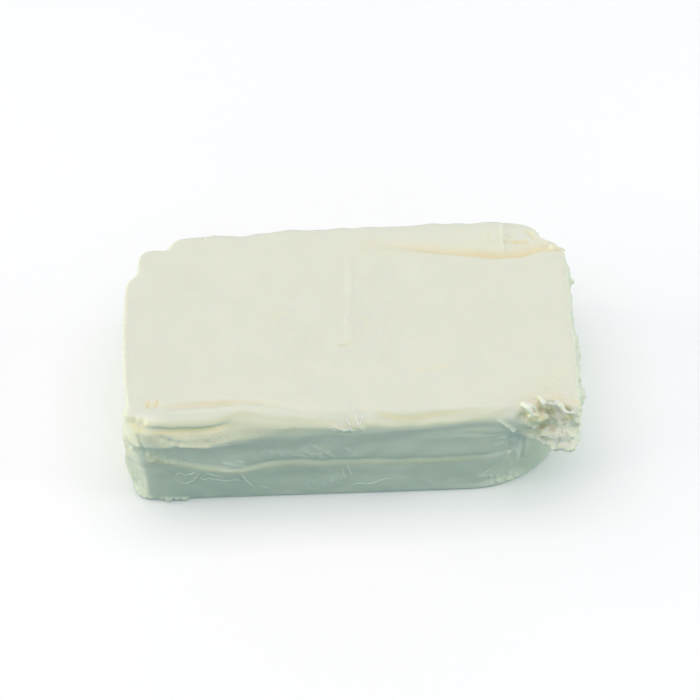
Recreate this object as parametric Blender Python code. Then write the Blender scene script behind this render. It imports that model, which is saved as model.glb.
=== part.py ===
"""A block of cream cheese, out of its foil and standing on its flat underside.

The block is one soft solid. A box is cut into a fine lattice, its edges and upright corners are
rounded, and each mark that the foil and the handling left on a side is a push on the points there.
The lattice is then thinned out, and the crumbs and flakes of its torn edges are fused on.

Lengths are in millimetres, and places are shares of the block's three sizes: along runs from -1 at
the left end to 1 at the right end, across from -1 at the front to 1 at the back, and up from 0 at
the underside to 1 at the top. The mesh itself is in metres, with +Z up and the front at -Y.
"""

import bpy
import numpy as np
from mathutils import Matrix, Vector, noise

MM = 0.001

# The driving dimensions: a block of about 227 grams.
LENGTH = 113.0
WIDTH = 61.0
HEIGHT = 34.5

HALF_LENGTH = LENGTH / 2
HALF_WIDTH = WIDTH / 2

# What a place's two shares are shares of, on the top, on the front and on an end.
TOP_PLANE = (HALF_LENGTH, HALF_WIDTH)
FRONT_PLANE = (HALF_LENGTH, HEIGHT)
END_PLANE = (HALF_WIDTH, HEIGHT)

# The lattice before it is thinned out, and the triangles that it keeps.
LATTICE_STEP = 0.75
KEPT_TRIANGLES = 8400

# Radii of the long edges and of the short ones at the two ends.
LONG_EDGE_RADIUS = 2.8
END_EDGE_RADIUS = 2.4
BOTTOM_EDGE_RADIUS = 1.2

# Plan radius of each upright corner, at the top and at the underside. The front right corner is
# torn: its foot is gone below the overhang's line, and what is left above hangs over.
CORNER_RADII = {
    (-1, -1): (3.0, 7.0),
    (-1, 1): (17.0, 15.0),
    (1, 1): (14.5, 12.0),
    (1, -1): (3.0, 26.0),
}
TORN_CORNER = (1, -1)
OVERHANG = ((0.74, 0.74), (0.79, 0.64), (0.84, 0.53), (0.90, 0.49), (1.0, 0.48))
OVERHANG_RISE = 3.0

# How deep below a side's surface its marks still move the block, the heights between which the
# marks of the four sides fade out to the flat foot, and the soft unevenness of every side.
SKIN = 7.0
FOOT = (0.3, 3.3)
SOFT_HILLS = ((15.0, 0.22), (5.0, 0.14))
FRONT_SOFTNESS = 1.6
BACK_SOFTNESS = 2.0
TOP_SOFTNESS = 0.8

CHEESE_COLOUR = (0.83, 0.815, 0.69, 1.0)
CHEESE_ROUGHNESS = 0.48
GLOW_WEIGHT = 0.3
GLOW_DEPTHS = (0.004, 0.003, 0.0015)
SHARP_ANGLE = 40.0


def rise(t, start, end):
    """0 before start, 1 past end, and a smooth climb between."""
    share = np.clip((t - start) / (end - start), 0.0, 1.0)
    return share * share * (3.0 - 2.0 * share)


def window(t, start, full, fading, end):
    """1 between full and fading, with a smooth climb from start and fall to end."""
    return rise(t, start, full) * (1.0 - rise(t, fading, end))


def swell(distance, width):
    """A soft hill, 1 high, that is about two widths across."""
    return np.exp(-((distance / width) ** 2))


def through(t, knots):
    """A smooth curve through the (t, value) knots, read at t and level past its ends."""
    at, value = np.array(knots).T
    slope = np.gradient(value, at)
    i = np.clip(np.searchsorted(at, t) - 1, 0, len(at) - 2)
    step = at[i + 1] - at[i]
    s = np.clip((t - at[i]) / step, 0.0, 1.0)
    return (
        (1 + 2 * s) * (1 - s) ** 2 * value[i]
        + s * (1 - s) ** 2 * step * slope[i]
        + s * s * (3 - 2 * s) * value[i + 1]
        + s * s * (s - 1) * step * slope[i + 1]
    )


def from_spot(a, b, spot, plane):
    """Distance on a side to a spot, whose place is given in the side's shares."""
    return np.hypot(a - spot[0] * plane[0], b - spot[1] * plane[1])


def from_line(a, b, start, end, plane):
    """Distance on a side to the straight line between two places given in its shares."""
    start, end = np.array(start) * plane, np.array(end) * plane
    run = end - start
    share = ((a - start[0]) * run[0] + (b - start[1]) * run[1]) / (run @ run)
    share = np.clip(share, 0.0, 1.0)
    return np.hypot(a - start[0] - share * run[0], b - start[1] - share * run[1])


def lumps(points, size, seed):
    """Random hills and hollows from about -1 to 1, each about size across."""
    shift = Vector((seed * 31.7, seed * 17.1, seed * 7.3))
    return np.array([noise.noise(Vector(p) / size + shift) for p in points]) * 1.6


def box_lattice(step):
    """Points and quads over the six sides of the block's box, with shared edges and corners."""
    sizes = (LENGTH, WIDTH, HEIGHT)
    counts = [round(size / step) + 1 for size in sizes]
    number = np.arange(np.prod(counts)).reshape(counts)
    sheets = []
    for axis in range(3):
        low, high = np.take(number, 0, axis), np.take(number, -1, axis)
        # The middle axis runs the other way round, so its two sides change places.
        outward = (high, low) if axis != 1 else (low, high)
        for sheet, turned in zip(outward, (False, True)):
            quads = np.stack([sheet[:-1, :-1], sheet[1:, :-1], sheet[1:, 1:], sheet[:-1, 1:]], -1)
            quads = quads.reshape(-1, 4)
            sheets.append(quads[:, ::-1] if turned else quads)
    used, quads = np.unique(np.concatenate(sheets), return_inverse=True)
    places = np.stack(np.unravel_index(used, counts), -1) / (np.array(counts) - 1)
    points = places * sizes - (HALF_LENGTH, HALF_WIDTH, 0.0)
    return points, quads.reshape(-1, 4)


def rounded(a, b, reach_a, reach_b, radius):
    """Rounds the edge where a comes to reach_a and b to reach_b, as a square bends to a disc."""
    u = np.clip((a - reach_a + radius) / radius, 0.0, 1.0)
    v = np.clip((b - reach_b + radius) / radius, 0.0, 1.0)
    return (
        np.minimum(a, reach_a - radius) + radius * u * np.sqrt(1 - v * v / 2),
        np.minimum(b, reach_b - radius) + radius * v * np.sqrt(1 - u * u / 2),
    )


def round_edges(x, y, z):
    """The box with soft edges: top and bottom first, then the four upright corners in plan."""
    side_x, side_y = np.sign(x), np.sign(y)
    out_x, out_y = abs(x), abs(y)
    out_x, z = rounded(out_x, z, HALF_LENGTH, HEIGHT, END_EDGE_RADIUS)
    out_y, z = rounded(out_y, z, HALF_WIDTH, HEIGHT, LONG_EDGE_RADIUS)
    out_x, depth = rounded(out_x, -z, HALF_LENGTH, 0.0, BOTTOM_EDGE_RADIUS)
    out_y, depth = rounded(out_y, depth, HALF_WIDTH, 0.0, BOTTOM_EDGE_RADIUS)
    z = -depth
    for corner, (top_radius, foot_radius) in CORNER_RADII.items():
        here = (side_x == corner[0]) & (side_y == corner[1])
        share = rise(z, 0.0, HEIGHT)
        if corner == TORN_CORNER:
            share = rise(z - through(x / HALF_LENGTH, OVERHANG) * HEIGHT, 0.0, OVERHANG_RISE)
        radius = foot_radius + (top_radius - foot_radius) * share
        corner_x, corner_y = rounded(out_x, out_y, HALF_LENGTH, HALF_WIDTH, radius)
        out_x, out_y = np.where(here, corner_x, out_x), np.where(here, corner_y, out_y)
    return side_x * out_x, side_y * out_y, z


# The front: a ledge along the middle, where the foil's edge lay. The front steps in above it, and
# comes part of the way out again over the height of the band above.
LEDGE = (
    (-0.98, 0.63), (-0.88, 0.56), (-0.73, 0.48), (-0.64, 0.44), (-0.55, 0.385), (-0.46, 0.39),
    (-0.36, 0.44), (-0.24, 0.475), (-0.10, 0.495), (0.03, 0.485), (0.39, 0.475), (0.80, 0.50),
)
LEDGE_DEPTH = ((-1.0, 1.1), (-0.6, 1.9), (-0.3, 1.5), (0.2, 1.3), (0.7, 1.1), (0.88, 0.0))
LEDGE_RISE = (-0.65, 0.65)
LEDGE_OUT_BELOW = 0.45
LEDGE_STEP_IN = 1.25
BAND = (1.0, 13.0)
BAND_BACK_OUT = 0.6

# The front's left: a soft roll hangs under the lip and bellies out to its lower rim, and a
# slanting valley runs under it, with a small second roll in the valley.
ROLL_SPAN = (-0.98, -0.88, -0.60, -0.38)
ROLL_RIM = ((-0.95, 0.86), (-0.82, 0.72), (-0.72, 0.62), (-0.61, 0.585), (-0.50, 0.63), (-0.38, 0.74))
ROLL_OUT = 3.0
ROLL_BELLY = (0.0, 1.4, 1.4, 8.9)
VALLEY = ((-0.88, 0.60), (-0.52, 0.56))
VALLEY_DEPTH, VALLEY_WIDTH = 0.9, 1.5
SMALL_ROLL = ((-0.78, 0.62), (-0.46, 0.44))
SMALL_ROLL_OUT, SMALL_ROLL_WIDTH = 0.7, 0.9

# The lip along the front's top edge, the slit between it and the roll, and how far the top
# edge is set back beside the roll.
LIP_FOOT = 0.90
LIP_EDGE = (0.87, 0.92)
LIP_OUT = (
    (-0.97, 0.0), (-0.86, 1.3), (-0.64, 1.4), (-0.52, 0.0), (-0.24, 0.2), (-0.05, 0.9),
    (0.6, 0.6), (0.72, 0.0),
)
SLIT_DEPTH, SLIT_WIDTH = 1.6, 0.8
SET_BACK = ((-0.66, 0.0), (-0.50, 2.2), (-0.36, 1.8), (-0.18, 0.8), (-0.05, 0.0))
SET_BACK_SLOPE = (0.68, 0.96)


def front_marks(x, z):
    """How far the front stands out of its flat plane."""
    along, up = x / HALF_LENGTH, z / HEIGHT
    over = z - through(along, LEDGE) * HEIGHT
    step = LEDGE_OUT_BELOW - LEDGE_STEP_IN * rise(over, *LEDGE_RISE) + BAND_BACK_OUT * rise(over, *BAND)
    out = through(along, LEDGE_DEPTH) * step

    rolled = window(along, *ROLL_SPAN)
    over_rim = z - through(along, ROLL_RIM) * HEIGHT
    out += ROLL_OUT * rolled * window(over_rim, *ROLL_BELLY)
    out -= VALLEY_DEPTH * swell(from_line(x, z, *VALLEY, FRONT_PLANE), VALLEY_WIDTH)
    out += SMALL_ROLL_OUT * swell(from_line(x, z, *SMALL_ROLL, FRONT_PLANE), SMALL_ROLL_WIDTH)

    out += through(along, LIP_OUT) * rise(up, *LIP_EDGE)
    out -= SLIT_DEPTH * rolled * swell(z - LIP_FOOT * HEIGHT, SLIT_WIDTH)
    out -= through(along, SET_BACK) * rise(up, *SET_BACK_SLOPE)
    return out + fan_of_creases(x, z)


# Creases that spread from the torn corner over the front, and the film that hangs beside them.
FAN_CENTRE = (0.745, 0.60)
FAN_ANGLES = (-42.0, -20.0, 3.0, 25.0)
FAN_START, FAN_REACH = 1.5, 8.0
CREASE_OUT, CREASE_WIDTH = 0.45, 0.6
FILM = ((0.645, 0.88), (0.722, 0.68))
FILM_OUT, FILM_WIDTH = 0.8, 0.8


def fan_of_creases(x, z):
    """Thin ridges on the front, left of the torn corner."""
    out = FILM_OUT * swell(from_line(x, z, *FILM, FRONT_PLANE), FILM_WIDTH)
    for angle in np.radians(FAN_ANGLES):
        away = np.array((-np.cos(angle), np.sin(angle))) / FRONT_PLANE
        start, end = FAN_CENTRE + FAN_START * away, FAN_CENTRE + FAN_REACH * away
        out += CREASE_OUT * swell(from_line(x, z, start, end, FRONT_PLANE), CREASE_WIDTH)
    return out


# The torn corner's large lumps and hollows: along, up, radius and how far each stands out. They
# show on the front third of the corner's depth. Its crumbled face goes on round to the end.
TORN_FORMS = (
    (0.845, 0.72, 3.6, -3.0),
    (0.890, 0.91, 2.4, -2.6),
    (0.735, 0.93, 1.5, -1.5),
    (0.815, 0.90, 2.0, 0.9),
    (0.930, 0.74, 3.0, 1.2),
    (0.960, 0.60, 3.0, 0.9),
    (0.890, 0.60, 2.2, 0.9),
)
TORN_FORMS_FROM = (0.55, 0.85)
CRUMBLED_ALONG = (0.74, 0.84)
CRUMBLED_ACROSS = (0.3, 0.8)
CRUMBLED_UP = (0.40, 0.55, 0.86, 0.97)
CRUMBLE_HILLS = ((4.2, 1.2), (2.1, 0.95))


def torn_corner(x, y, z, points):
    """How far the front right corner stands out, over its front and round on to the end."""
    along, to_front, up = x / HALF_LENGTH, -y / HALF_WIDTH, z / HEIGHT
    out = np.zeros_like(x)
    for at, high, radius, push in TORN_FORMS:
        out += push * swell(from_spot(x, z, (at, high), FRONT_PLANE), radius)
    out *= rise(to_front, *TORN_FORMS_FROM)
    torn = rise(along, *CRUMBLED_ALONG) * rise(to_front, *CRUMBLED_ACROSS) * window(up, *CRUMBLED_UP)
    for seed, (size, height) in enumerate(CRUMBLE_HILLS, 5):
        out += height * torn * lumps(points, size, seed)
    return out


# The top: a slightly twisted plate, with the foil's seam across it.
TWIST = 1.2
SEAM_TOP = (0.026, 0.66)
SEAM_FOOT = (0.005, -0.24)
SEAM_HOOK = (-0.04, -0.26)
SEAM_SPAN = (-0.26, -0.24, 0.60, 0.70)
SEAM_SIDES = (0.0, 0.4, 0.4, 1.6)
SEAM_HEIGHT = 0.18
HOOK_DEPTH, HOOK_WIDTH = 0.3, 0.6

# The crease behind the front lip, and the lip's lifted left stretch.
LIP_CREASE = (
    (-0.9, -0.86), (-0.82, -0.85), (-0.67, -0.835), (-0.40, -0.853), (-0.23, -0.906),
    (-0.10, -0.945), (0.05, -0.93), (0.2, -0.995), (0.38, -0.97), (0.6, -0.955),
)
LIP_CREASE_DEPTH = ((-0.95, 0.0), (-0.82, 0.9), (-0.5, 0.8), (-0.3, 0.4), (0.55, 0.3), (0.7, 0.0))
LIP_CREASE_WIDTH = 1.1
LIP_LIFT_SPAN = (-0.97, -0.84, -0.60, -0.36)
LIP_LIFT, LIP_LIFT_PLACE, LIP_LIFT_WIDTH = 1.1, -3.2, 2.2

# The groove that parts the back strip from the plate, steep at the plate's edge. The strip has a
# low crown, and past its fold it drops.
GROOVE = (
    (0.0, 0.745), (0.22, 0.745), (0.32, 0.705), (0.46, 0.667), (0.58, 0.636), (0.70, 0.605),
    (0.80, 0.612), (0.91, 0.66), (1.0, 0.65),
)
GROOVE_DEPTH = ((0.0, 0.0), (0.15, 0.2), (0.40, 0.9), (0.70, 1.6), (0.90, 1.2), (1.0, 0.9))
GROOVE_WIDTHS = (0.7, 2.2)
STRIP_EDGE = (0.0, 2.5)
STRIP_DROP = 0.35
STRIP_CROWN, STRIP_CROWN_PLACE, STRIP_CROWN_WIDTH = 0.5, 0.88, 0.1
STRIP_FOLD = (0.716, 0.728)
STRIP_FOLD_DROP = 0.5
PIT, PIT_DEPTH, PIT_WIDTH = (0.84, 0.80), 0.9, 1.5

# Two nicks in the front left corner, and two shallow dents: place, half length and depth.
NICKS = (((-0.904, -0.84), (-0.894, -0.81)), ((-0.868, -0.83), (-0.858, -0.80)))
NICK_DEPTH, NICK_WIDTH = 0.4, 0.4
DENTS = (((-0.01, -0.59), 5.0, 0.2), ((0.33, -0.53), 4.0, 0.25))
DENT_WIDTH = 0.9


def top_marks(x, y):
    """How far the top stands over its flat plane."""
    along, across = x / HALF_LENGTH, y / HALF_WIDTH
    out = TWIST * along * across

    seam_x = np.interp(across, (SEAM_FOOT[1], SEAM_TOP[1]), (SEAM_FOOT[0], SEAM_TOP[0])) * HALF_LENGTH
    out += SEAM_HEIGHT * window(seam_x - x, *SEAM_SIDES) * window(across, *SEAM_SPAN)
    out -= HOOK_DEPTH * swell(from_line(x, y, SEAM_FOOT, SEAM_HOOK, TOP_PLANE), HOOK_WIDTH)

    behind_crease = y - through(along, LIP_CREASE) * HALF_WIDTH
    out -= through(along, LIP_CREASE_DEPTH) * swell(behind_crease, LIP_CREASE_WIDTH)
    lifted = window(along, *LIP_LIFT_SPAN)
    out += LIP_LIFT * lifted * swell(behind_crease - LIP_LIFT_PLACE, LIP_LIFT_WIDTH)

    behind_groove = y - through(along, GROOVE) * HALF_WIDTH
    depth = through(along, GROOVE_DEPTH)
    strip = rise(depth, 0.0, 1.0) * rise(behind_groove, *STRIP_EDGE)
    out -= depth * swell(behind_groove, np.where(behind_groove < 0, *GROOVE_WIDTHS))
    out += STRIP_CROWN * strip * swell(across - STRIP_CROWN_PLACE, STRIP_CROWN_WIDTH) - STRIP_DROP * strip
    out -= STRIP_FOLD_DROP * strip * rise(along, *STRIP_FOLD)
    out -= PIT_DEPTH * swell(from_spot(x, y, PIT, TOP_PLANE), PIT_WIDTH)

    for start, end in NICKS:
        out -= NICK_DEPTH * swell(from_line(x, y, start, end, TOP_PLANE), NICK_WIDTH)
    for spot, half_length, depth in DENTS:
        stretched = np.hypot((x - spot[0] * HALF_LENGTH) / half_length, y - spot[1] * HALF_WIDTH)
        out -= depth * swell(stretched, DENT_WIDTH)
    return out


# The ends: the foil was folded in from four sides, so creases run from the corners to the middle,
# and a wavy shelf lies across between them.
END_BULGE, END_BULGE_UP, END_BULGE_WIDTH = 1.2, 0.62, 0.34
END_FOLD_CORNER = 0.95
END_FOLD_MEET = (0.40, 0.52)
END_FOLD_OUT, END_FOLD_WIDTH = 0.8, 1.2
END_SHELF_SPAN = (-0.75, -0.4, 0.4, 0.75)
END_SHELF_DEPTH = 0.9
END_SHELF_SIDES = (-0.6, 0.6, 1.0, 10.0)
END_SHELF_WAVE, END_SHELF_WAVES = 1.2, 4.0
END_HILLS = ((7.0, 0.6), (2.6, 0.3))


def bulge(up):
    """How far an end bellies out at a height."""
    return END_BULGE * swell(up - END_BULGE_UP, END_BULGE_WIDTH)


def end_marks(y, z, points, seed):
    """How far an end stands out of its flat plane."""
    across, up = y / HALF_WIDTH, z / HEIGHT
    out = bulge(up)
    over = z - END_FOLD_MEET[1] * HEIGHT - END_SHELF_WAVE * np.sin(across * END_SHELF_WAVES + seed)
    out -= END_SHELF_DEPTH * window(across, *END_SHELF_SPAN) * window(over, *END_SHELF_SIDES)
    for flank in (-1, 1):
        for corner in (0, 1):
            start, end = (flank * END_FOLD_CORNER, corner), (flank * END_FOLD_MEET[0], END_FOLD_MEET[1])
            out += END_FOLD_OUT * swell(from_line(y, z, start, end, END_PLANE), END_FOLD_WIDTH)
    for layer, (size, height) in enumerate(END_HILLS):
        out += height * lumps(points, size, seed + layer)
    return out


# The back: it draws in towards its two ends, and has a ledge as on the front, lower and plainer,
# and two slanting creases.
BACK_DRAWN_IN = ((-1.0, 1.0), (-0.7, 0.7), (-0.3, -0.2), (0.1, -0.8), (0.5, -0.4), (0.8, 0.4))
BACK_LEDGE = ((-1.0, 0.50), (-0.4, 0.47), (0.2, 0.52), (0.7, 0.48), (1.0, 0.52))
BACK_LEDGE_RISE = (-0.7, 0.7)
BACK_LEDGE_OUT_BELOW = 0.3
BACK_LEDGE_STEP_IN = 1.1
BACK_BAND = (1.0, 12.0)
BACK_BAND_BACK_OUT = 0.8
BACK_CREASES = (((-0.84, 0.88), (-0.52, 0.48)), ((0.58, 0.46), (0.82, 0.86)))
BACK_CREASE_OUT, BACK_CREASE_WIDTH = 0.6, 1.0


def back_marks(x, z):
    """How far the back stands out of its flat plane."""
    along = x / HALF_LENGTH
    over = z - through(along, BACK_LEDGE) * HEIGHT
    out = BACK_LEDGE_OUT_BELOW - BACK_LEDGE_STEP_IN * rise(over, *BACK_LEDGE_RISE)
    out += BACK_BAND_BACK_OUT * rise(over, *BACK_BAND)
    for start, end in BACK_CREASES:
        out += BACK_CREASE_OUT * swell(from_line(x, z, start, end, FRONT_PLANE), BACK_CREASE_WIDTH)
    return out - through(along, BACK_DRAWN_IN)


# Where the rounded back corners were pinched in: place on the top, radius and depth.
PINCHES = (((-0.845, 0.90), 2.6, 1.7), ((-1.0, 0.62), 3.2, 1.9), ((0.93, 0.84), 2.6, 1.9))
PINCHED_FROM = (0.25, 0.60)


def pinched(x, y, z):
    """How far the upright back corners are pressed in towards the block's middle."""
    depth = np.zeros_like(x)
    for spot, radius, deepest in PINCHES:
        depth += deepest * swell(from_spot(x, y, spot, TOP_PLANE), radius)
    return depth * rise(z / HEIGHT, *PINCHED_FROM)


# The underside: the foil's long seam, which wanders a little, and the creases of its four end
# folds, all pressed in.
UNDER_SEAM = 0.16
UNDER_SEAM_FADE = (0.78, 0.88)
UNDER_SEAM_DEPTH = 0.45
UNDER_SEAM_WAVE, UNDER_SEAM_WAVELENGTH = 0.8, 107.0
UNDER_FOLD = ((0.96, 0.90), (0.76, 0.40))
UNDER_FOLD_DEPTH = 0.4
UNDER_MARK_WIDTH = 0.9


def underside_marks(x, y):
    """How far the underside is pressed in."""
    seam_y = UNDER_SEAM * HALF_WIDTH + UNDER_SEAM_WAVE * np.sin(2 * np.pi * x / UNDER_SEAM_WAVELENGTH)
    seam = swell(y - seam_y, UNDER_MARK_WIDTH) * (1 - rise(abs(x) / HALF_LENGTH, *UNDER_SEAM_FADE))
    fold = swell(from_line(abs(x), abs(y), *UNDER_FOLD, TOP_PLANE), UNDER_MARK_WIDTH)
    return UNDER_SEAM_DEPTH * seam + UNDER_FOLD_DEPTH * fold


# Seeds of the random unevenness of the two ends.
LEFT_SEED, RIGHT_SEED = 11, 23
TORN_ON_THE_END = 0.5


def shaped(points):
    """The lattice's points, moved to the block's surface."""
    x, y, z = round_edges(*points.T)
    base = np.stack([x, y, z], -1)
    along, across = x / HALF_LENGTH, y / HALF_WIDTH
    soft = sum(height * lumps(base, size, seed) for seed, (size, height) in enumerate(SOFT_HILLS, 1))

    front = rise(-y, HALF_WIDTH - SKIN, HALF_WIDTH)
    back = rise(y, HALF_WIDTH - SKIN, HALF_WIDTH)
    left = rise(-x, HALF_LENGTH - SKIN, HALF_LENGTH)
    right = rise(x, HALF_LENGTH - SKIN, HALF_LENGTH)
    top = rise(z, HEIGHT - SKIN, HEIGHT)
    standing = rise(z, *FOOT)

    torn = torn_corner(x, y, z, base)
    new_y = y - front * standing * (front_marks(x, z) + FRONT_SOFTNESS * soft + torn)
    new_y += back * standing * (back_marks(x, z) + BACK_SOFTNESS * soft)
    new_x = x - left * standing * end_marks(y, z, base, LEFT_SEED)
    new_x += right * standing * (end_marks(y, z, base, RIGHT_SEED) + TORN_ON_THE_END * torn)
    new_z = z + top * (top_marks(x, y) + TOP_SOFTNESS * soft)

    pinch = pinched(x, y, z)
    new_x -= pinch * along
    new_y -= pinch * across

    on_underside = points[:, 2] == 0
    new_z += on_underside * underside_marks(x, y)
    return np.stack([new_x, new_y, new_z], -1) * MM


def cheese_material():
    """Soft ivory cheese with a faint wet shine."""
    material = bpy.data.materials.new("cream_cheese")
    material.use_nodes = True
    shader = material.node_tree.nodes["Principled BSDF"]
    shader.inputs["Base Color"].default_value = CHEESE_COLOUR
    shader.inputs["Roughness"].default_value = CHEESE_ROUGHNESS
    shader.inputs["Metallic"].default_value = 0.0
    shader.inputs["Subsurface Weight"].default_value = GLOW_WEIGHT
    shader.inputs["Subsurface Radius"].default_value = GLOW_DEPTHS
    return material


def block():
    """The block without its crumbs."""
    points, quads = box_lattice(LATTICE_STEP)
    mesh = bpy.data.meshes.new("cream_cheese_block")
    mesh.from_pydata(shaped(points).tolist(), [], quads.tolist())
    mesh.materials.append(cheese_material())
    body = bpy.data.objects.new("cream_cheese_block", mesh)
    bpy.context.scene.collection.objects.link(body)
    thin = body.modifiers.new("Thin", "DECIMATE")
    thin.ratio = KEPT_TRIANGLES / (2 * len(quads))
    return body


# Crumbs of the torn corner: along, how far behind the front, up, the three half widths, and the
# turn about the front's normal in degrees. The first five hang from the plate's edge.
TORN_CRUMBS = (
    (0.775, 1.3, 0.935, (1.3, 1.3, 1.9), 20),
    (0.815, 1.2, 0.950, (1.8, 1.6, 1.0), -30),
    (0.925, 1.2, 0.925, (1.0, 1.1, 2.0), -35),
    (0.955, 1.4, 0.905, (1.5, 1.3, 0.9), 25),
    (0.865, 1.6, 0.955, (2.2, 1.6, 0.8), 0),
    (0.815, 2.2, 0.875, (1.9, 1.5, 1.3), 15),
    (0.770, 1.6, 0.800, (1.0, 1.3, 2.2), 20),
    (0.890, 1.8, 0.800, (1.8, 1.5, 1.5), -15),
    (0.955, 1.4, 0.745, (1.8, 1.5, 1.5), 30),
    (0.910, 1.4, 0.655, (1.6, 1.4, 1.5), 10),
    (0.965, 1.6, 0.620, (1.6, 1.5, 1.4), -20),
    (0.885, 1.5, 0.550, (1.8, 1.5, 1.0), 12),
    (0.945, 1.5, 0.510, (1.9, 1.6, 0.9), -8),
    (0.735, 1.3, 0.760, (1.0, 0.9, 1.5), 40),
)

# Flakes that stand out of the two ends: across, up, and the three half widths.
RIGHT_FLAKES = (
    (0.52, 0.93, (0.9, 0.8, 0.5)), (0.30, 0.90, (0.7, 0.9, 0.6)), (-0.02, 0.90, (1.1, 0.7, 0.6)),
    (-0.19, 0.88, (1.0, 0.6, 0.7)), (-0.60, 0.94, (1.2, 0.8, 0.5)), (-0.80, 0.96, (1.6, 0.9, 0.5)),
    (-0.90, 0.86, (0.9, 0.9, 0.6)), (-0.45, 0.70, (0.8, 1.0, 0.9)), (0.05, 0.62, (0.8, 1.1, 0.7)),
)
LEFT_FLAKES = (
    (-0.66, 0.84, (0.9, 0.8, 0.8)), (-0.72, 0.66, (0.8, 0.8, 1.0)), (-0.60, 0.40, (0.8, 0.9, 0.7)),
    (-0.20, 0.60, (0.8, 1.0, 0.6)), (0.35, 0.74, (0.8, 1.1, 0.7)),
)
FLAKE_SINK = 0.3

# Flakes on the back strip's right end and at the plate's back right corner: along, across, up.
CORNER_FLAKES = (
    (0.875, 0.86, 0.965, (1.3, 0.9, 0.6)), (0.905, 0.79, 0.970, (0.9, 1.0, 0.5)),
    (0.955, 0.69, 1.005, (1.2, 0.7, 0.5)), (0.985, 0.66, 0.990, (1.1, 0.8, 0.5)),
)

# How rough a crumb is: the scale and the height of its bumps, on a ball of radius 1.
CRUMB_BUMPS = ((1.3, 0.7), (3.3, 0.5))


def crumb(group, place, size, turn):
    """A rough lump of cheese: size is its three half widths, and turn is about the front's normal."""
    seed = len(group.objects)
    shift = Vector((seed * 3.1, seed * 5.3, 0))
    bpy.ops.mesh.primitive_ico_sphere_add(subdivisions=2, radius=1.0)
    lump = bpy.context.object
    lump.name = f"crumb_{seed}"
    for vertex in lump.data.vertices:
        bumps = [height * noise.noise(vertex.co * scale + shift) for scale, height in CRUMB_BUMPS]
        vertex.co *= 1 + sum(bumps)
    stretch = Matrix.Diagonal((*(half * MM for half in size), 1.0))
    spin = Matrix.Rotation(np.radians(turn), 4, "Y")
    lump.data.transform(Matrix.Translation(Vector(place) * MM) @ spin @ stretch)
    for collection in lump.users_collection:
        collection.objects.unlink(lump)
    group.objects.link(lump)


def all_crumbs(group):
    """Every crumb and flake, as separate lumps in one collection."""
    for along, behind, up, size, turn in TORN_CRUMBS:
        crumb(group, (along * HALF_LENGTH, behind - HALF_WIDTH, up * HEIGHT), size, turn)
    for along, across, up, size in CORNER_FLAKES:
        crumb(group, (along * HALF_LENGTH, across * HALF_WIDTH, up * HEIGHT), size, 0)
    for end, flakes in ((1, RIGHT_FLAKES), (-1, LEFT_FLAKES)):
        for across, up, size in flakes:
            x = end * (HALF_LENGTH + bulge(up) - FLAKE_SINK)
            crumb(group, (x, across * HALF_WIDTH, up * HEIGHT), size, 0)


def fuse(body, group):
    """Joins the crumbs to the block, and keeps the one solid that results."""
    join = body.modifiers.new("Fuse", "BOOLEAN")
    join.operation = "UNION"
    join.operand_type = "COLLECTION"
    join.collection = group
    graph = bpy.context.evaluated_depsgraph_get()
    fused = bpy.data.meshes.new_from_object(body.evaluated_get(graph))
    body.modifiers.clear()
    body.data = fused
    body.data.name = "cream_cheese_block"
    for lump in list(group.objects):
        bpy.data.objects.remove(lump)
    bpy.data.collections.remove(group)


def main():
    for old in list(bpy.data.objects):
        bpy.data.objects.remove(old)
    body = block()
    crumbs = bpy.data.collections.new("crumbs")
    bpy.context.scene.collection.children.link(crumbs)
    all_crumbs(crumbs)
    fuse(body, crumbs)
    body.data.shade_smooth()
    body.data.set_sharp_from_angle(angle=np.radians(SHARP_ANGLE))


main()
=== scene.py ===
import bpy
import bmesh
import numpy as np
from mathutils import Matrix, Vector, noise
from mathutils.bvhtree import BVHTree


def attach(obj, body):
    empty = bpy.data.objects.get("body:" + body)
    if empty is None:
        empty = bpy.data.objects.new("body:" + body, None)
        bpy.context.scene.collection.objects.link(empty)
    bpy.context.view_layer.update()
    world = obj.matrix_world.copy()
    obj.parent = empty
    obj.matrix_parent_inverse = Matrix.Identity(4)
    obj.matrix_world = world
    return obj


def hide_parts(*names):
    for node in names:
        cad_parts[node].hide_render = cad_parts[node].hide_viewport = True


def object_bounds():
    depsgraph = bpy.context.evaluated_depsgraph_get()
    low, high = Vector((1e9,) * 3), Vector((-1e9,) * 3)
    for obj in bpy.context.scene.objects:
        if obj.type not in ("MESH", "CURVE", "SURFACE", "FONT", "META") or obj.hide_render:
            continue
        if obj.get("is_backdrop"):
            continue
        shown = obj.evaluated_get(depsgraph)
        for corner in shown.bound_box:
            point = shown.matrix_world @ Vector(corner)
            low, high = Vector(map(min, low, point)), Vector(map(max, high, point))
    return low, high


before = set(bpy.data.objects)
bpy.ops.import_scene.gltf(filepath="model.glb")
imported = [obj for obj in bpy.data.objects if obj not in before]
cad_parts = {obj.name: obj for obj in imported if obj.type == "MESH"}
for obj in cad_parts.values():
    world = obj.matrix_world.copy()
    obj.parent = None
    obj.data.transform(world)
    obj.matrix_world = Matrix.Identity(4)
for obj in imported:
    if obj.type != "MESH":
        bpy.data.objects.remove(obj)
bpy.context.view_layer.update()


# THE BLOCK. One brick of soft cheese, about 227 grams, set in its foil and unwrapped. The foil
# left it rounded edges and four different upright corners. It starts as a fine lattice over a box.

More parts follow.
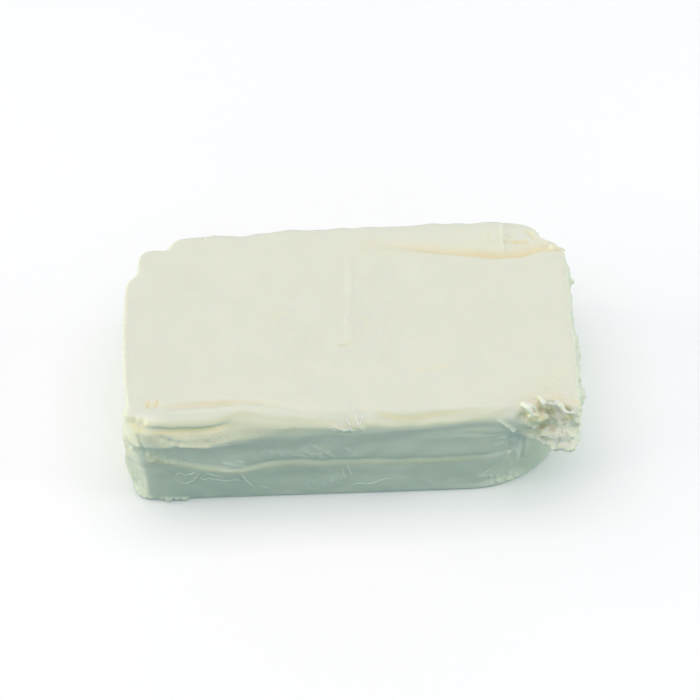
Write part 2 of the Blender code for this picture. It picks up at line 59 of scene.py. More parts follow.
# Lengths are in millimetres, and places are shares of the block's sizes: along runs from -1 at the
# left end to 1 at the right, across from -1 at the front to 1 at the back, up from 0 to 1.
MM = 0.001
LENGTH, WIDTH, HEIGHT = 113.0, 61.0, 34.5
HALF_LENGTH, HALF_WIDTH = LENGTH / 2, WIDTH / 2
LATTICE_STEP = 0.35
LONG_EDGE_RADIUS, LEFT_EDGE_RADIUS, RIGHT_EDGE_RADIUS, BOTTOM_EDGE_RADIUS = 2.8, 1.0, 1.2, 1.2

# Plan radius of each upright corner at the top and at the foot. The front right corner is torn: its
# foot is gone below the overhang's line.
CORNER_RADII = {(-1, -1): (3.0, 5.0), (-1, 1): (17.0, 15.0), (1, 1): (14.5, 12.0), (1, -1): (3.0, 26.0)}
TORN_CORNER = (1, -1)
OVERHANG = ((0.74, 0.74), (0.79, 0.66), (0.84, 0.6), (0.9, 0.56), (1.0, 0.54))
OVERHANG_RISE = 2.4


def rise(t, start, end):
    """0 before start, 1 past end, and a smooth climb between."""
    share = np.clip((t - start) / (end - start), 0.0, 1.0)
    return share * share * (3.0 - 2.0 * share)


def through(t, knots):
    """A smooth curve through the (t, value) knots, read at t and level past its ends."""
    at, value = np.array(knots).T
    slope = np.gradient(value, at)
    i = np.clip(np.searchsorted(at, t) - 1, 0, len(at) - 2)
    step = at[i + 1] - at[i]
    s = np.clip((t - at[i]) / step, 0.0, 1.0)
    return (
        (1 + 2 * s) * (1 - s) ** 2 * value[i]
        + s * (1 - s) ** 2 * step * slope[i]
        + s * s * (3 - 2 * s) * value[i + 1]
        + s * s * (s - 1) * step * slope[i + 1]
    )


def box_lattice(step):
    """Points and quads over the six sides of the block's box, with shared edges and corners."""
    sizes = (LENGTH, WIDTH, HEIGHT)
    counts = [round(size / step) + 1 for size in sizes]
    number = np.arange(np.prod(counts)).reshape(counts)
    sheets = []
    for axis in range(3):
        low, high = np.take(number, 0, axis), np.take(number, -1, axis)
        # The middle axis runs the other way round, so its two sides change places.
        outward = (high, low) if axis != 1 else (low, high)
        for sheet, turned in zip(outward, (False, True)):
            quads = np.stack([sheet[:-1, :-1], sheet[1:, :-1], sheet[1:, 1:], sheet[:-1, 1:]], -1)
            quads = quads.reshape(-1, 4)
            sheets.append(quads[:, ::-1] if turned else quads)
    used, quads = np.unique(np.concatenate(sheets), return_inverse=True)
    places = np.stack(np.unravel_index(used, counts), -1) / (np.array(counts) - 1)
    points = places * sizes - (HALF_LENGTH, HALF_WIDTH, 0.0)
    return points, quads.reshape(-1, 4)


def rounded(a, b, reach_a, reach_b, radius):
    """Rounds the edge where a comes to reach_a and b to reach_b, as a square bends to a disc."""
    u = np.clip((a - reach_a + radius) / radius, 0.0, 1.0)
    v = np.clip((b - reach_b + radius) / radius, 0.0, 1.0)
    return (
        np.minimum(a, reach_a - radius) + radius * u * np.sqrt(1 - v * v / 2),
        np.minimum(b, reach_b - radius) + radius * v * np.sqrt(1 - u * u / 2),
    )


def round_edges(x, y, z):
    """The box with soft edges: top and bottom first, then the four upright corners in plan."""
    side_x, side_y = np.sign(x), np.sign(y)
    out_x, out_y = abs(x), abs(y)
    end_radius = np.where(side_x > 0, RIGHT_EDGE_RADIUS, LEFT_EDGE_RADIUS)
    out_x, z = rounded(out_x, z, HALF_LENGTH, HEIGHT, end_radius)
    out_y, z = rounded(out_y, z, HALF_WIDTH, HEIGHT, LONG_EDGE_RADIUS)
    out_x, depth = rounded(out_x, -z, HALF_LENGTH, 0.0, BOTTOM_EDGE_RADIUS)
    out_y, depth = rounded(out_y, depth, HALF_WIDTH, 0.0, BOTTOM_EDGE_RADIUS)
    z = -depth
    for corner, (top_radius, foot_radius) in CORNER_RADII.items():
        here = (side_x == corner[0]) & (side_y == corner[1])
        share = rise(z, 0.0, HEIGHT)
        if corner == TORN_CORNER:
            share = rise(z - through(x / HALF_LENGTH, OVERHANG) * HEIGHT, 0.0, OVERHANG_RISE)
        radius = foot_radius + (top_radius - foot_radius) * share
        corner_x, corner_y = rounded(out_x, out_y, HALF_LENGTH, HALF_WIDTH, radius)
        out_x, out_y = np.where(here, corner_x, out_x), np.where(here, corner_y, out_y)
    return side_x * out_x, side_y * out_y, z


lattice, quads = box_lattice(LATTICE_STEP)
x, y, z = round_edges(*lattice.T)
rounded_box = np.stack([x, y, z], -1)
along, across, up = x / HALF_LENGTH, y / HALF_WIDTH, z / HEIGHT


# THE FOIL'S SOFT DENTS. Thin foil and fingers leave the cheese nowhere quite flat: long low hills
# all over it, with smaller ones between them.
SOFT_HILLS = ((15.0, 0.22), (5.0, 0.14))


def lumps(points, size, seed):
    """Random hills and hollows from about -1 to 1, each about size across."""
    shift = Vector((seed * 31.7, seed * 17.1, seed * 7.3))
    return np.array([noise.noise(Vector(p) / size + shift) for p in points]) * 1.6


soft = sum(height * lumps(rounded_box, size, seed) for seed, (size, height) in enumerate(SOFT_HILLS, 1))


# THE FRONT. The foil's edge lay along its middle and left a ledge there, with the band above it set
# in. On the left a soft roll hangs under the lip of the top edge, parted from it by a thin slit,
# and a slanting valley runs between the roll and the ledge.
FRONT_PLANE = (HALF_LENGTH, HEIGHT)

# Each line runs along the front, from the lip down to the foot: along, up, and how far out it lies.
LIP_CREST = (
    (-1.0, 0.965, 0.0), (-0.93, 0.965, 0.9), (-0.85, 0.965, 2.2), (-0.76, 0.965, 2.6),
    (-0.67, 0.965, 2.4), (-0.6, 0.968, 1.7), (-0.55, 0.975, 0.5), (-0.51, 0.983, -0.6),
    (-0.47, 0.985, -0.9), (-0.4, 0.98, -0.4), (-0.31, 0.975, 0.4), (-0.24, 0.975, 0.9),
    (-0.06, 0.975, 1.1), (0.1, 0.975, 0.95), (0.22, 0.975, 0.7), (0.44, 0.975, 0.3),
    (0.62, 0.975, -0.2), (0.71, 0.975, -0.3), (0.8, 0.975, -0.1), (1.0, 0.975, 0.0),
)
SLIT = (
    (-1.0, 0.95, 0.7), (-0.93, 0.95, 0.9), (-0.89, 0.948, 1.2), (-0.83, 0.945, 1.4), (-0.76, 0.94, 1.4),
    (-0.675, 0.94, 1.4), (-0.6, 0.947, 1.1), (-0.55, 0.95, 0.5), (-0.51, 0.955, 0.2),
    (-0.47, 0.955, 0.2), (-0.4, 0.955, 0.5), (-0.31, 0.955, 0.9), (-0.24, 0.955, 1.3),
    (-0.06, 0.95, 1.6), (0.1, 0.95, 1.45), (0.22, 0.95, 1.25), (0.44, 0.95, 0.8), (0.62, 0.95, 0.1),
    (0.71, 0.95, 0.0), (0.8, 0.95, 0.0), (1.0, 0.95, 0.0),
)
ROLL_TOP = (
    (-1.0, 0.925, 1.6), (-0.93, 0.925, 2.0), (-0.89, 0.925, 2.3), (-0.83, 0.92, 2.6),
    (-0.76, 0.915, 2.8), (-0.675, 0.915, 2.8), (-0.6, 0.922, 2.3), (-0.55, 0.925, 1.3),
    (-0.47, 0.92, 1.1), (-0.4, 0.925, 1.1), (-0.31, 0.93, 1.4), (-0.24, 0.93, 1.7), (-0.06, 0.92, 1.9),
    (0.1, 0.92, 1.75), (0.22, 0.92, 1.6), (0.44, 0.92, 1.05), (0.62, 0.92, 0.35), (0.71, 0.92, 0.1),
    (0.8, 0.92, 0.0), (1.0, 0.92, 0.0),
)
ROLL_RIM = (
    (-1.0, 0.815, 2.6), (-0.93, 0.82, 3.1), (-0.895, 0.826, 3.5), (-0.83, 0.84, 4.1),
    (-0.767, 0.85, 4.6), (-0.68, 0.842, 4.7), (-0.613, 0.838, 4.3), (-0.524, 0.846, 3.1),
    (-0.457, 0.852, 2.3), (-0.4, 0.855, 2.1), (-0.25, 0.86, 2.1), (-0.15, 0.865, 2.0),
    (-0.06, 0.87, 2.0), (0.1, 0.878, 1.9), (0.22, 0.885, 1.75), (0.44, 0.89, 1.2), (0.62, 0.895, 0.5),
    (0.71, 0.89, 0.2), (0.8, 0.88, 0.0), (1.0, 0.88, 0.0),
)
ROLL_UNDER = (
    (-1.0, 0.78, 1.4), (-0.93, 0.785, 1.7), (-0.895, 0.79, 1.9), (-0.83, 0.8, 2.2),
    (-0.767, 0.806, 2.6), (-0.68, 0.79, 2.7), (-0.613, 0.775, 2.6), (-0.524, 0.762, 2.2),
    (-0.457, 0.755, 1.8), (-0.4, 0.765, 1.6), (-0.25, 0.795, 1.7), (-0.15, 0.815, 1.75),
    (-0.06, 0.83, 1.8), (0.1, 0.838, 1.65), (0.22, 0.845, 1.5), (0.44, 0.85, 1.0), (0.62, 0.855, 0.4),
    (0.71, 0.85, 0.15), (0.8, 0.84, 0.0), (1.0, 0.84, 0.0),
)
VALLEY = (
    (-1.0, 0.78, 0.3), (-0.9, 0.717, 0.3), (-0.837, 0.664, 0.4), (-0.771, 0.628, 0.6),
    (-0.683, 0.602, 0.7), (-0.596, 0.572, 0.7), (-0.507, 0.59, 0.7), (-0.409, 0.62, 0.7),
    (-0.238, 0.65, 0.7), (0.03, 0.66, 0.65), (0.39, 0.65, 0.55), (0.6, 0.63, 0.3), (0.7, 0.6, 0.1),
    (0.8, 0.6, 0.0), (1.0, 0.6, 0.0),
)
BAND_FOOT = (
    (-1.0, 0.73, 0.35), (-0.947, 0.697, 0.35), (-0.883, 0.642, 0.4), (-0.817, 0.602, 0.5),
    (-0.729, 0.56, 0.6), (-0.664, 0.523, 0.65), (-0.575, 0.49, 0.65), (-0.509, 0.472, 0.65),
    (-0.409, 0.5, 0.55), (-0.239, 0.53, 0.5), (-0.105, 0.513, 0.5), (0.029, 0.5, 0.45),
    (0.209, 0.493, 0.45), (0.388, 0.505, 0.45), (0.522, 0.51, 0.5), (0.657, 0.5, 0.25),
    (0.8, 0.51, 0.0), (1.0, 0.52, 0.0),
)
LEDGE_FOOT = (
    (-1.0, 0.7, 0.4), (-0.947, 0.667, 0.4), (-0.883, 0.612, 0.5), (-0.817, 0.572, 0.55),
    (-0.729, 0.527, 0.55), (-0.664, 0.486, 0.5), (-0.575, 0.45, 0.45), (-0.509, 0.43, 0.4),
    (-0.409, 0.458, 0.25), (-0.239, 0.491, 0.2), (-0.105, 0.474, 0.2), (0.029, 0.46, 0.15),
    (0.209, 0.454, 0.15), (0.388, 0.466, 0.15), (0.522, 0.466, 0.2), (0.657, 0.459, 0.1),
    (0.8, 0.47, 0.0), (1.0, 0.48, 0.0),
)
LEDGE_EDGE = (
    (-1.0, 0.668, 0.7), (-0.948, 0.635, 0.95), (-0.883, 0.58, 1.2), (-0.818, 0.536, 1.2),
    (-0.73, 0.49, 1.2), (-0.664, 0.451, 1.2), (-0.577, 0.411, 1.15), (-0.51, 0.395, 1.05),
    (-0.41, 0.422, 0.9), (-0.24, 0.455, 0.62), (-0.106, 0.437, 0.55), (0.029, 0.424, 0.5),
    (0.208, 0.418, 0.46), (0.387, 0.43, 0.43), (0.522, 0.43, 0.4), (0.656, 0.427, 0.35),
    (0.8, 0.44, 0.05), (1.0, 0.45, 0.0),
)
LOW_BAND = (
    (-1.0, 0.33, 0.4), (-0.7, 0.28, 0.7), (-0.5, 0.22, 0.55), (-0.2, 0.22, 0.35), (0.0, 0.24, 0.3),
    (0.45, 0.24, 0.15), (0.62, 0.25, -0.1), (0.75, 0.28, -0.5), (0.87, 0.3, -0.3), (1.0, 0.3, 0.0),
)
FRONT_FOOT = (
    (-1.0, 0.0, 0.0), (-0.8, 0.0, -0.2), (-0.5, 0.0, 0.1), (0.0, 0.0, 0.0), (0.45, 0.0, -0.1),
    (0.62, 0.0, -0.8), (0.75, 0.0, -1.1), (0.87, 0.0, -0.5), (1.0, 0.0, 0.0),
)
FRONT_LINES = (
    LIP_CREST, SLIT, ROLL_TOP, ROLL_RIM, ROLL_UNDER, VALLEY, BAND_FOOT, LEDGE_FOOT, LEDGE_EDGE,
    LOW_BAND, FRONT_FOOT,
)

# The film of cheese that hangs from the lip beside the torn corner, and the thin creases that
# spread from there over the front: the ends of each, its height and its width.
FRONT_CREASES = (
    ((0.64, 0.92), (0.672, 0.86), 0.45, 0.32), ((0.672, 0.86), (0.705, 0.78), 0.6, 0.32),
    ((0.705, 0.78), (0.735, 0.7), 0.65, 0.32), ((0.72, 0.64), (0.65, 0.646), 0.4, 0.35),
    ((-0.085, 0.945), (-0.038, 0.915), 0.45, 0.35), ((-0.05, 0.925), (-0.005, 0.905), 0.45, 0.32),
    ((0.03, 0.945), (0.04, 0.905), 0.4, 0.3), ((-0.06, 0.885), (0.0, 0.875), -0.35, 0.45),
    ((0.724, 0.61), (0.668, 0.555), 0.55, 0.4), ((0.735, 0.6), (0.71, 0.487), 0.6, 0.4),
    ((0.665, 0.59), (0.64, 0.56), 0.35, 0.35), ((0.745, 0.56), (0.752, 0.33), 0.5, 0.45),
    ((0.7, 0.44), (0.681, 0.386), 0.4, 0.4), ((0.69, 0.33), (0.648, 0.284), 0.3, 0.35),
    ((0.64, 0.78), (0.5, 0.8), 0.18, 0.5), ((0.63, 0.7), (0.47, 0.735), 0.15, 0.5),
    ((0.709, 0.671), (0.744, 0.552), 0.45, 0.4), ((0.744, 0.552), (0.781, 0.523), 0.35, 0.4),
    ((0.784, 0.689), (0.784, 0.432), 0.7, 0.5), ((0.784, 0.432), (0.776, 0.3), 0.45, 0.45),
    ((0.73, 0.45), (0.745, 0.3), 0.35, 0.4), ((0.7, 0.3), (0.715, 0.18), 0.2, 0.35),
    ((0.755, 0.5), (0.76, 0.25), -0.6, 0.6), ((0.69, 0.62), (0.7, 0.52), -0.4, 0.5),
)

# Small folds in the roll, where the foil pleated it: the ends of each, its height and its width.
ROLL_FOLDS = (
    ((-0.845, 0.9), (-0.803, 0.88), -0.45, 0.4), ((-0.803, 0.88), (-0.765, 0.872), -0.55, 0.45),
    ((-0.765, 0.872), (-0.64, 0.868), -0.45, 0.5), ((-0.83, 0.865), (-0.78, 0.845), -0.35, 0.4),
    ((-0.78, 0.845), (-0.7, 0.83), -0.35, 0.45), ((-0.955, 0.9), (-0.93, 0.83), -0.4, 0.6),
    ((-0.64, 0.868), (-0.56, 0.88), -0.25, 0.5), ((-0.62, 0.835), (-0.52, 0.845), -0.25, 0.5),
)

# Low ridges where the cheese dragged on the foil, left of the middle.
DRAG_MARKS = (
    ((-0.575, 0.5), (-0.52, 0.47), 0.55, 0.45), ((-0.56, 0.455), (-0.5, 0.44), 0.5, 0.4),
    ((-0.525, 0.52), (-0.5, 0.5), 0.5, 0.35), ((-0.59, 0.425), (-0.53, 0.415), 0.35, 0.35),
    ((-0.23, 0.64), (-0.18, 0.56), 0.3, 0.35), ((-0.19, 0.7), (-0.15, 0.64), 0.32, 0.32),
    ((-0.12, 0.6), (-0.09, 0.52), 0.32, 0.32), ((-0.05, 0.66), (-0.02, 0.58), 0.3, 0.32),
    ((-0.26, 0.56), (-0.2, 0.54), 0.3, 0.32), ((0.0, 0.56), (0.02, 0.52), 0.3, 0.28),
    ((-0.15, 0.56), (-0.145, 0.5), 0.3, 0.28), ((-0.085, 0.7), (-0.08, 0.64), 0.25, 0.28),
    ((-0.38, 0.64), (-0.36, 0.58), 0.22, 0.35), ((-0.33, 0.61), (-0.31, 0.56), 0.22, 0.3),
    ((-0.74, 0.56), (-0.7, 0.53), 0.25, 0.35), ((0.56, 0.17), (0.6, 0.15), 0.25, 0.28),
    ((0.34, 0.15), (0.36, 0.12), 0.25, 0.25), ((0.21, 0.21), (0.23, 0.2), 0.22, 0.25),
)


# The least height between two of the front's lines, as a share of the block's.
LEAST_GAP = 0.008


def swell(distance, width):
    """A soft hill, 1 high, that is about two widths across."""
    return np.exp(-((distance / width) ** 2))


def from_line(a, b, start, end, plane):
    """Distance on a side to the straight line between two places given in its shares."""
    start, end = np.array(start) * plane, np.array(end) * plane
    run = end - start
    share = ((a - start[0]) * run[0] + (b - start[1]) * run[1]) / (run @ run)
    share = np.clip(share, 0.0, 1.0)
    return np.hypot(a - start[0] - share * run[0], b - start[1] - share * run[1])


def from_spot(a, b, spot, plane):
    """Distance on a side to a spot, whose place is given in the side's shares."""
    return np.hypot(a - spot[0] * plane[0], b - spot[1] * plane[1])


def marked(out, marks, a, b, plane, by=1.0, where=1.0):
    """Adds marks to a side. Each has its two ends, its height and its width."""
    for start, end, height, width in marks:
        out += by * height * swell(from_line(a, b, start, end, plane), width) * where


def pushed(out, spots, a, b, plane):
    """Adds round pushes to a side. Each has its place, how far it goes and its radius."""
    for spot, push, radius in spots:
        out += push * swell(from_spot(a, b, spot, plane), radius)


def lofted(lines):
    """How far the front stands out: down it, a smooth curve through the lines that never overshoots."""
    heights = np.array([through(along, [(a, b) for a, b, _ in line]) for line in lines])
    reaches = np.array([through(along, [(a, c) for a, _, c in line]) for line in lines])
    gaps = np.maximum(heights[:-1] - heights[1:], LEAST_GAP)
    steps = np.diff(reaches, axis=0) / gaps
    product, total = steps[:-1] * steps[1:], steps[:-1] + steps[1:]
    inner = np.where(product > 0, 2 * product / np.where(product > 0, total, 1.0), 0.0)
    slopes = np.concatenate([np.zeros_like(steps[:1]), inner, np.zeros_like(steps[:1])])
    out = reaches[0]
    for k, gap in enumerate(gaps):
        s = np.clip((heights[k] - up) / gap, 0.0, 1.0)
        bend = s * (1 - s) ** 2 * gap * slopes[k] + s * s * (s - 1) * gap * slopes[k + 1]
        reached = reaches[k] + (reaches[k + 1] - reaches[k]) * s * s * (3 - 2 * s) + bend
        out = np.where(up <= heights[k], reached, out)
    return out


# Where the slit runs out at the left, bits of the lip broke away, and the ledge starts as a few
# lumps. Each is a spot on the front, how far it stands out and its radius.
LEFT_SPOTS = (
    ((-0.92, 0.985), -0.8, 0.6), ((-0.958, 0.98), -0.7, 0.6), ((-0.938, 0.96), -0.4, 0.5),
    ((-0.905, 0.64), 0.8, 0.8), ((-0.88, 0.612), 0.7, 0.7), ((-0.856, 0.59), 0.8, 0.7),
    ((-0.832, 0.56), 0.7, 0.7), ((-0.807, 0.545), 0.6, 0.6), ((-0.895, 0.585), 0.5, 0.6),
)

front_out = lofted(FRONT_LINES)
marked(front_out, FRONT_CREASES + DRAG_MARKS + ROLL_FOLDS, x, z, FRONT_PLANE)
pushed(front_out, LEFT_SPOTS, x, z, FRONT_PLANE)


# THE TORN CORNER. At the front right a mouthful of cheese came away with the foil. Its face is
# crumbled, with deep hollows under the top plate, and it goes on round to the right end.
TORN_FORMS = (
    ((0.85, 0.82), -2.8, 2.8), ((0.885, 0.93), -3.6, 2.6), ((0.83, 0.98), -1.6, 2.2),
    ((0.95, 0.92), -1.6, 1.8), ((0.745, 0.93), -1.4, 1.4), ((0.795, 0.86), 1.3, 1.6),
    ((0.86, 0.67), 1.6, 2.2), ((0.91, 0.68), 2.4, 2.4), ((0.965, 0.69), 2.4, 2.6),
    ((0.89, 0.6), 0.8, 1.8),
)
TORN_FORMS_FROM = (0.55, 0.85)
CRUMBLED_ALONG, CRUMBLED_ACROSS, CRUMBLED_UP = (0.74, 0.82), (0.3, 0.8), (0.46, 0.58, 0.9, 0.99)
CRUMBLE_HILLS = ((4.2, 1.0), (2.1, 0.8))
CRACKS = ((1.6, 0.75), (0.8, 0.4))
CRACK_SHARPNESS = 7.0


def window(t, start, full, fading, end):
    """1 between full and fading, with a smooth climb from start and fall to end."""
    return rise(t, start, full) * (1.0 - rise(t, fading, end))


def cracked(points, size, seed):
    """Round-topped crumbs about size across, parted by sharp cracks, from -1 in a crack to 0."""
    return -np.exp(-abs(lumps(points, size, seed)) * CRACK_SHARPNESS)


torn_out = np.zeros_like(x)
pushed(torn_out, TORN_FORMS, x, z, FRONT_PLANE)
torn_out *= rise(-across, *TORN_FORMS_FROM)
torn = rise(along, *CRUMBLED_ALONG) * rise(-across, *CRUMBLED_ACROSS) * window(up, *CRUMBLED_UP)
for seed, (size, height) in enumerate(CRUMBLE_HILLS, 5):
    torn_out += height * torn * lumps(rounded_box, size, seed)
for seed, (size, depth) in enumerate(CRACKS, 60):
    torn_out += depth * torn * cracked(rounded_box, size, seed)


# THE TOP. A plate that is slightly twisted, with the foil's seam across its middle. A groove parts a
# strip from it along the back right, where the foil's last fold lay, and behind the front lip runs
# a shallow crease.
TOP_PLANE = (HALF_LENGTH, HALF_WIDTH)
TWIST = 1.2
SEAM = ((-0.24, 0.005), (-0.05, 0.006), (0.0, 0.001), (0.06, 0.014), (0.2, 0.016), (0.66, 0.026))
SEAM_FOOT, SEAM_HOOK = (0.005, -0.245), (-0.044, -0.272)
SEAM_SPAN, SEAM_SIDES, SEAM_HEIGHT = (-0.26, -0.24, 0.6, 0.7), (0.0, 0.3, 0.35, 2.0), 0.19
SEAM_BEAD_HEIGHT, SEAM_BEAD_PLACE, SEAM_BEAD_WIDTH = 0.12, 0.2, 0.24
HOOK_DEPTH, HOOK_WIDTH = 0.35, 0.45
LIP_CREASE = (
    (-0.9, -0.86), (-0.82, -0.85), (-0.67, -0.835), (-0.4, -0.853), (-0.23, -0.906), (-0.1, -0.945),
    (0.05, -0.93), (0.2, -0.995), (0.38, -0.97), (0.6, -0.955),
)
LIP_CREASE_DEPTH = (
    (-0.95, 0.0), (-0.86, 0.6), (-0.75, 1.0), (-0.62, 1.1), (-0.5, 0.9), (-0.3, 0.45), (0.15, 0.35),
    (0.3, 0.5), (0.55, 0.3), (0.7, 0.0),
)
LIP_CREASE_WIDTH = 0.9
LIP_LIFT_SPAN = (-0.97, -0.84, -0.6, -0.36)
LIP_LIFT, LIP_LIFT_PLACE, LIP_LIFT_WIDTH = 1.1, -3.2, 2.2
GROOVE = (
    (0.0, 0.745), (0.22, 0.745), (0.32, 0.705), (0.46, 0.667), (0.58, 0.636), (0.7, 0.605),
    (0.8, 0.612), (0.91, 0.66), (1.0, 0.65),
)
GROOVE_DEPTH = ((0.0, 0.0), (0.15, 0.2), (0.4, 0.9), (0.7, 1.6), (0.9, 1.2), (1.0, 0.9))
GROOVE_WIDTHS = (0.5, 1.8)
STRIP_EDGE, STRIP_DROP = (0.0, 2.5), 0.35
STRIP_CROWN, STRIP_CROWN_PLACE, STRIP_CROWN_WIDTH = 0.5, 0.88, 0.1
STRIP_FOLD, STRIP_FOLD_BEHIND, STRIP_FOLD_DROP = (0.717, 0.727), (0.5, 3.0), 0.5

# Short creases that the foil left in the strip and beside the torn corner, and two nicks at the
# left: the ends of each, its depth and its width.
STREAKS = (
    ((0.722, 0.778), (0.781, 0.763), 0.3, 0.45), ((0.781, 0.763), (0.841, 0.753), 0.4, 0.5),
    ((0.743, 0.831), (0.769, 0.807), 0.25, 0.4), ((0.797, 0.7), (0.85, 0.696), 0.2, 0.45),
    ((0.623, 0.829), (0.647, 0.74), 0.14, 0.45), ((0.66, 0.838), (0.684, 0.748), 0.16, 0.45),
    ((0.59, 0.8), (0.606, 0.74), 0.1, 0.45), ((0.84, 0.86), (0.868, 0.8), 0.35, 0.5),
    ((0.831, -0.693), (0.887, -0.636), 0.16, 0.35), ((0.887, -0.636), (0.92, -0.7), 0.14, 0.35),
    ((0.85, -0.776), (0.9, -0.739), 0.14, 0.35), ((0.915, -0.56), (0.94, -0.62), 0.12, 0.35),
)
NICKS = (((-0.904, -0.84), (-0.894, -0.81), 0.45, 0.38), ((-0.868, -0.83), (-0.858, -0.8), 0.45, 0.38))

# Long shallow dents: the middle of each, its half length and its depth.
DENTS = (
    ((-0.01, -0.59), 6.0, 0.1), ((0.33, -0.53), 5.0, 0.12), ((-0.225, -0.38), 5.0, 0.08),
    ((-0.45, -0.52), 6.0, 0.08),
)
DENT_WIDTH = 0.9

# Faint warm smears, where the foil was drawn along the plate: the ends, the strength and the width.
SMEARS = (
    ((0.278, -0.54), (0.394, -0.528), 0.28, 0.7), ((0.394, -0.528), (0.45, -0.5), 0.15, 0.5),
    ((-0.139, -0.54), (-0.007, -0.59), 0.14, 0.5), ((-0.007, -0.59), (0.06, -0.585), 0.12, 0.4),
    ((-0.493, -0.544), (-0.227, -0.533), 0.1, 0.8), ((0.1, -0.48), (0.3, -0.47), 0.08, 0.5),
    ((0.005, -0.245), (-0.044, -0.272), 0.35, 0.5), ((0.1, 0.745), (0.42, 0.7), 0.1, 2.2),
)

# Thin wrinkles on the lip, where it was drawn out before it broke off.
LIP_WRINKLES = (
    ((-0.02, -1.04), (0.07, -1.0), 0.22, 0.35), ((-0.01, -1.08), (0.09, -1.07), 0.22, 0.35),
    ((0.05, -1.09), (0.085, -1.03), 0.25, 0.3), ((0.02, -0.97), (0.16, -1.03), 0.15, 0.45),
    ((0.58, -0.98), (0.7, -0.94), 0.15, 0.45), ((0.6, -1.03), (0.72, -1.0), 0.15, 0.45),
)

top_out = TWIST * along * across
seam_x = through(across, SEAM) * HALF_LENGTH
seam_there = window(across, *SEAM_SPAN)
top_out += SEAM_HEIGHT * window(seam_x - x, *SEAM_SIDES) * seam_there
top_out += SEAM_BEAD_HEIGHT * swell(seam_x - x - SEAM_BEAD_PLACE, SEAM_BEAD_WIDTH) * seam_there
top_out -= HOOK_DEPTH * swell(from_line(x, y, SEAM_FOOT, SEAM_HOOK, TOP_PLANE), HOOK_WIDTH)

behind_crease = y - through(along, LIP_CREASE) * HALF_WIDTH
top_out -= through(along, LIP_CREASE_DEPTH) * swell(behind_crease, LIP_CREASE_WIDTH)
top_out += LIP_LIFT * window(along, *LIP_LIFT_SPAN) * swell(behind_crease - LIP_LIFT_PLACE, LIP_LIFT_WIDTH)

behind_groove = y - through(along, GROOVE) * HALF_WIDTH
groove_depth = through(along, GROOVE_DEPTH)
strip = rise(groove_depth, 0.0, 1.0) * rise(behind_groove, *STRIP_EDGE)
top_out -= groove_depth * swell(behind_groove, np.where(behind_groove < 0, *GROOVE_WIDTHS))
crown = STRIP_CROWN * strip * swell(across - STRIP_CROWN_PLACE, STRIP_CROWN_WIDTH)
top_out += crown - STRIP_DROP * strip
top_out -= STRIP_FOLD_DROP * strip * rise(along, *STRIP_FOLD) * rise(behind_groove, *STRIP_FOLD_BEHIND)
marked(top_out, STREAKS + NICKS, x, y, TOP_PLANE, by=-1.0)
for spot, half_length, depth in DENTS:
    stretched = np.hypot((x - spot[0] * HALF_LENGTH) / half_length, y - spot[1] * HALF_WIDTH)
    top_out -= depth * swell(stretched, DENT_WIDTH)
marked(top_out, LIP_WRINKLES, x, y, TOP_PLANE)


# THE TWO ENDS. The foil was folded in from four sides here, so creases run from the corners to the
# middle with a wavy shelf between them, and the cheese that stuck to the folds tore off roughly.
END_PLANE = (HALF_WIDTH, HEIGHT)
END_BULGES, END_BULGE_UP, END_BULGE_WIDTH = {-1: -0.2, 1: 2.2}, 0.58, 0.34
END_CALM, END_CALM_UP = {-1: 0.85, 1: 0.25}, (0.82, 0.95)
END_FOLD_CORNER, END_FOLD_MEET = 0.95, (0.4, 0.52)
END_FOLD_OUT, END_FOLD_WIDTH = 0.8, 1.2
END_SHELF_SPAN, END_SHELF_DEPTH = (-0.75, -0.4, 0.4, 0.75), 0.9
END_SHELF_SIDES = (-0.6, 0.6, 1.0, 10.0)
END_SHELF_WAVE, END_SHELF_WAVES = 1.2, 4.0
END_HILLS = ((7.0, 0.6), (2.6, 0.3))
END_CRACKS = ((2.2, 0.35), (1.0, 0.2))
END_ROUGH_SIZE, END_ROUGH_FROM = 9.0, (-0.5, 0.4)
LEFT_SEED, RIGHT_SEED = 11, 23

# How far out the plate's left edge lies, from front to back, and where the wall below it bulges
# out beside the front corner.
LEFT_RIM = (
    (-1.0, -0.7), (-0.88, -0.5), (-0.7, 0.2), (-0.3, 0.8), (0.1, 0.9), (0.35, 0.6), (0.6, 0.1),
    (1.0, 0.0),
)
LEFT_RIM_UP = (0.78, 0.94)
LEFT_FLARE, LEFT_FLARE_AT, LEFT_FLARE_WIDTH, LEFT_FLARE_UP = 1.7, -25.0, 4.5, (0.05, 0.35, 0.76, 0.9)

# The right end is plainer beside the torn corner, which brings its own forms.
BESIDE_TORN, BESIDE_TORN_CALM = (0.6, 0.84), 0.9


def end_marks(side, seed):
    """How far an end stands out of its flat plane."""
    out = END_BULGES[side] * swell(up - END_BULGE_UP, END_BULGE_WIDTH)
    calm = 1 - END_CALM[side] * rise(up, *END_CALM_UP)
    over = z - END_FOLD_MEET[1] * HEIGHT - END_SHELF_WAVE * np.sin(across * END_SHELF_WAVES + seed)
    out -= END_SHELF_DEPTH * window(across, *END_SHELF_SPAN) * window(over, *END_SHELF_SIDES)
    for flank in (-1, 1):
        for corner in (0, 1):
            start, end = (flank * END_FOLD_CORNER, corner), (flank * END_FOLD_MEET[0], END_FOLD_MEET[1])
            out += END_FOLD_OUT * swell(from_line(y, z, start, end, END_PLANE), END_FOLD_WIDTH)
    for layer, (size, height) in enumerate(END_HILLS):
        out += height * calm * lumps(rounded_box, size, seed + layer)
    rough = calm * rise(lumps(rounded_box, END_ROUGH_SIZE, seed + 5), *END_ROUGH_FROM)
    for layer, (size, depth) in enumerate(END_CRACKS):
        out += depth * rough * cracked(rounded_box, size, seed + 6 + layer)
    return out


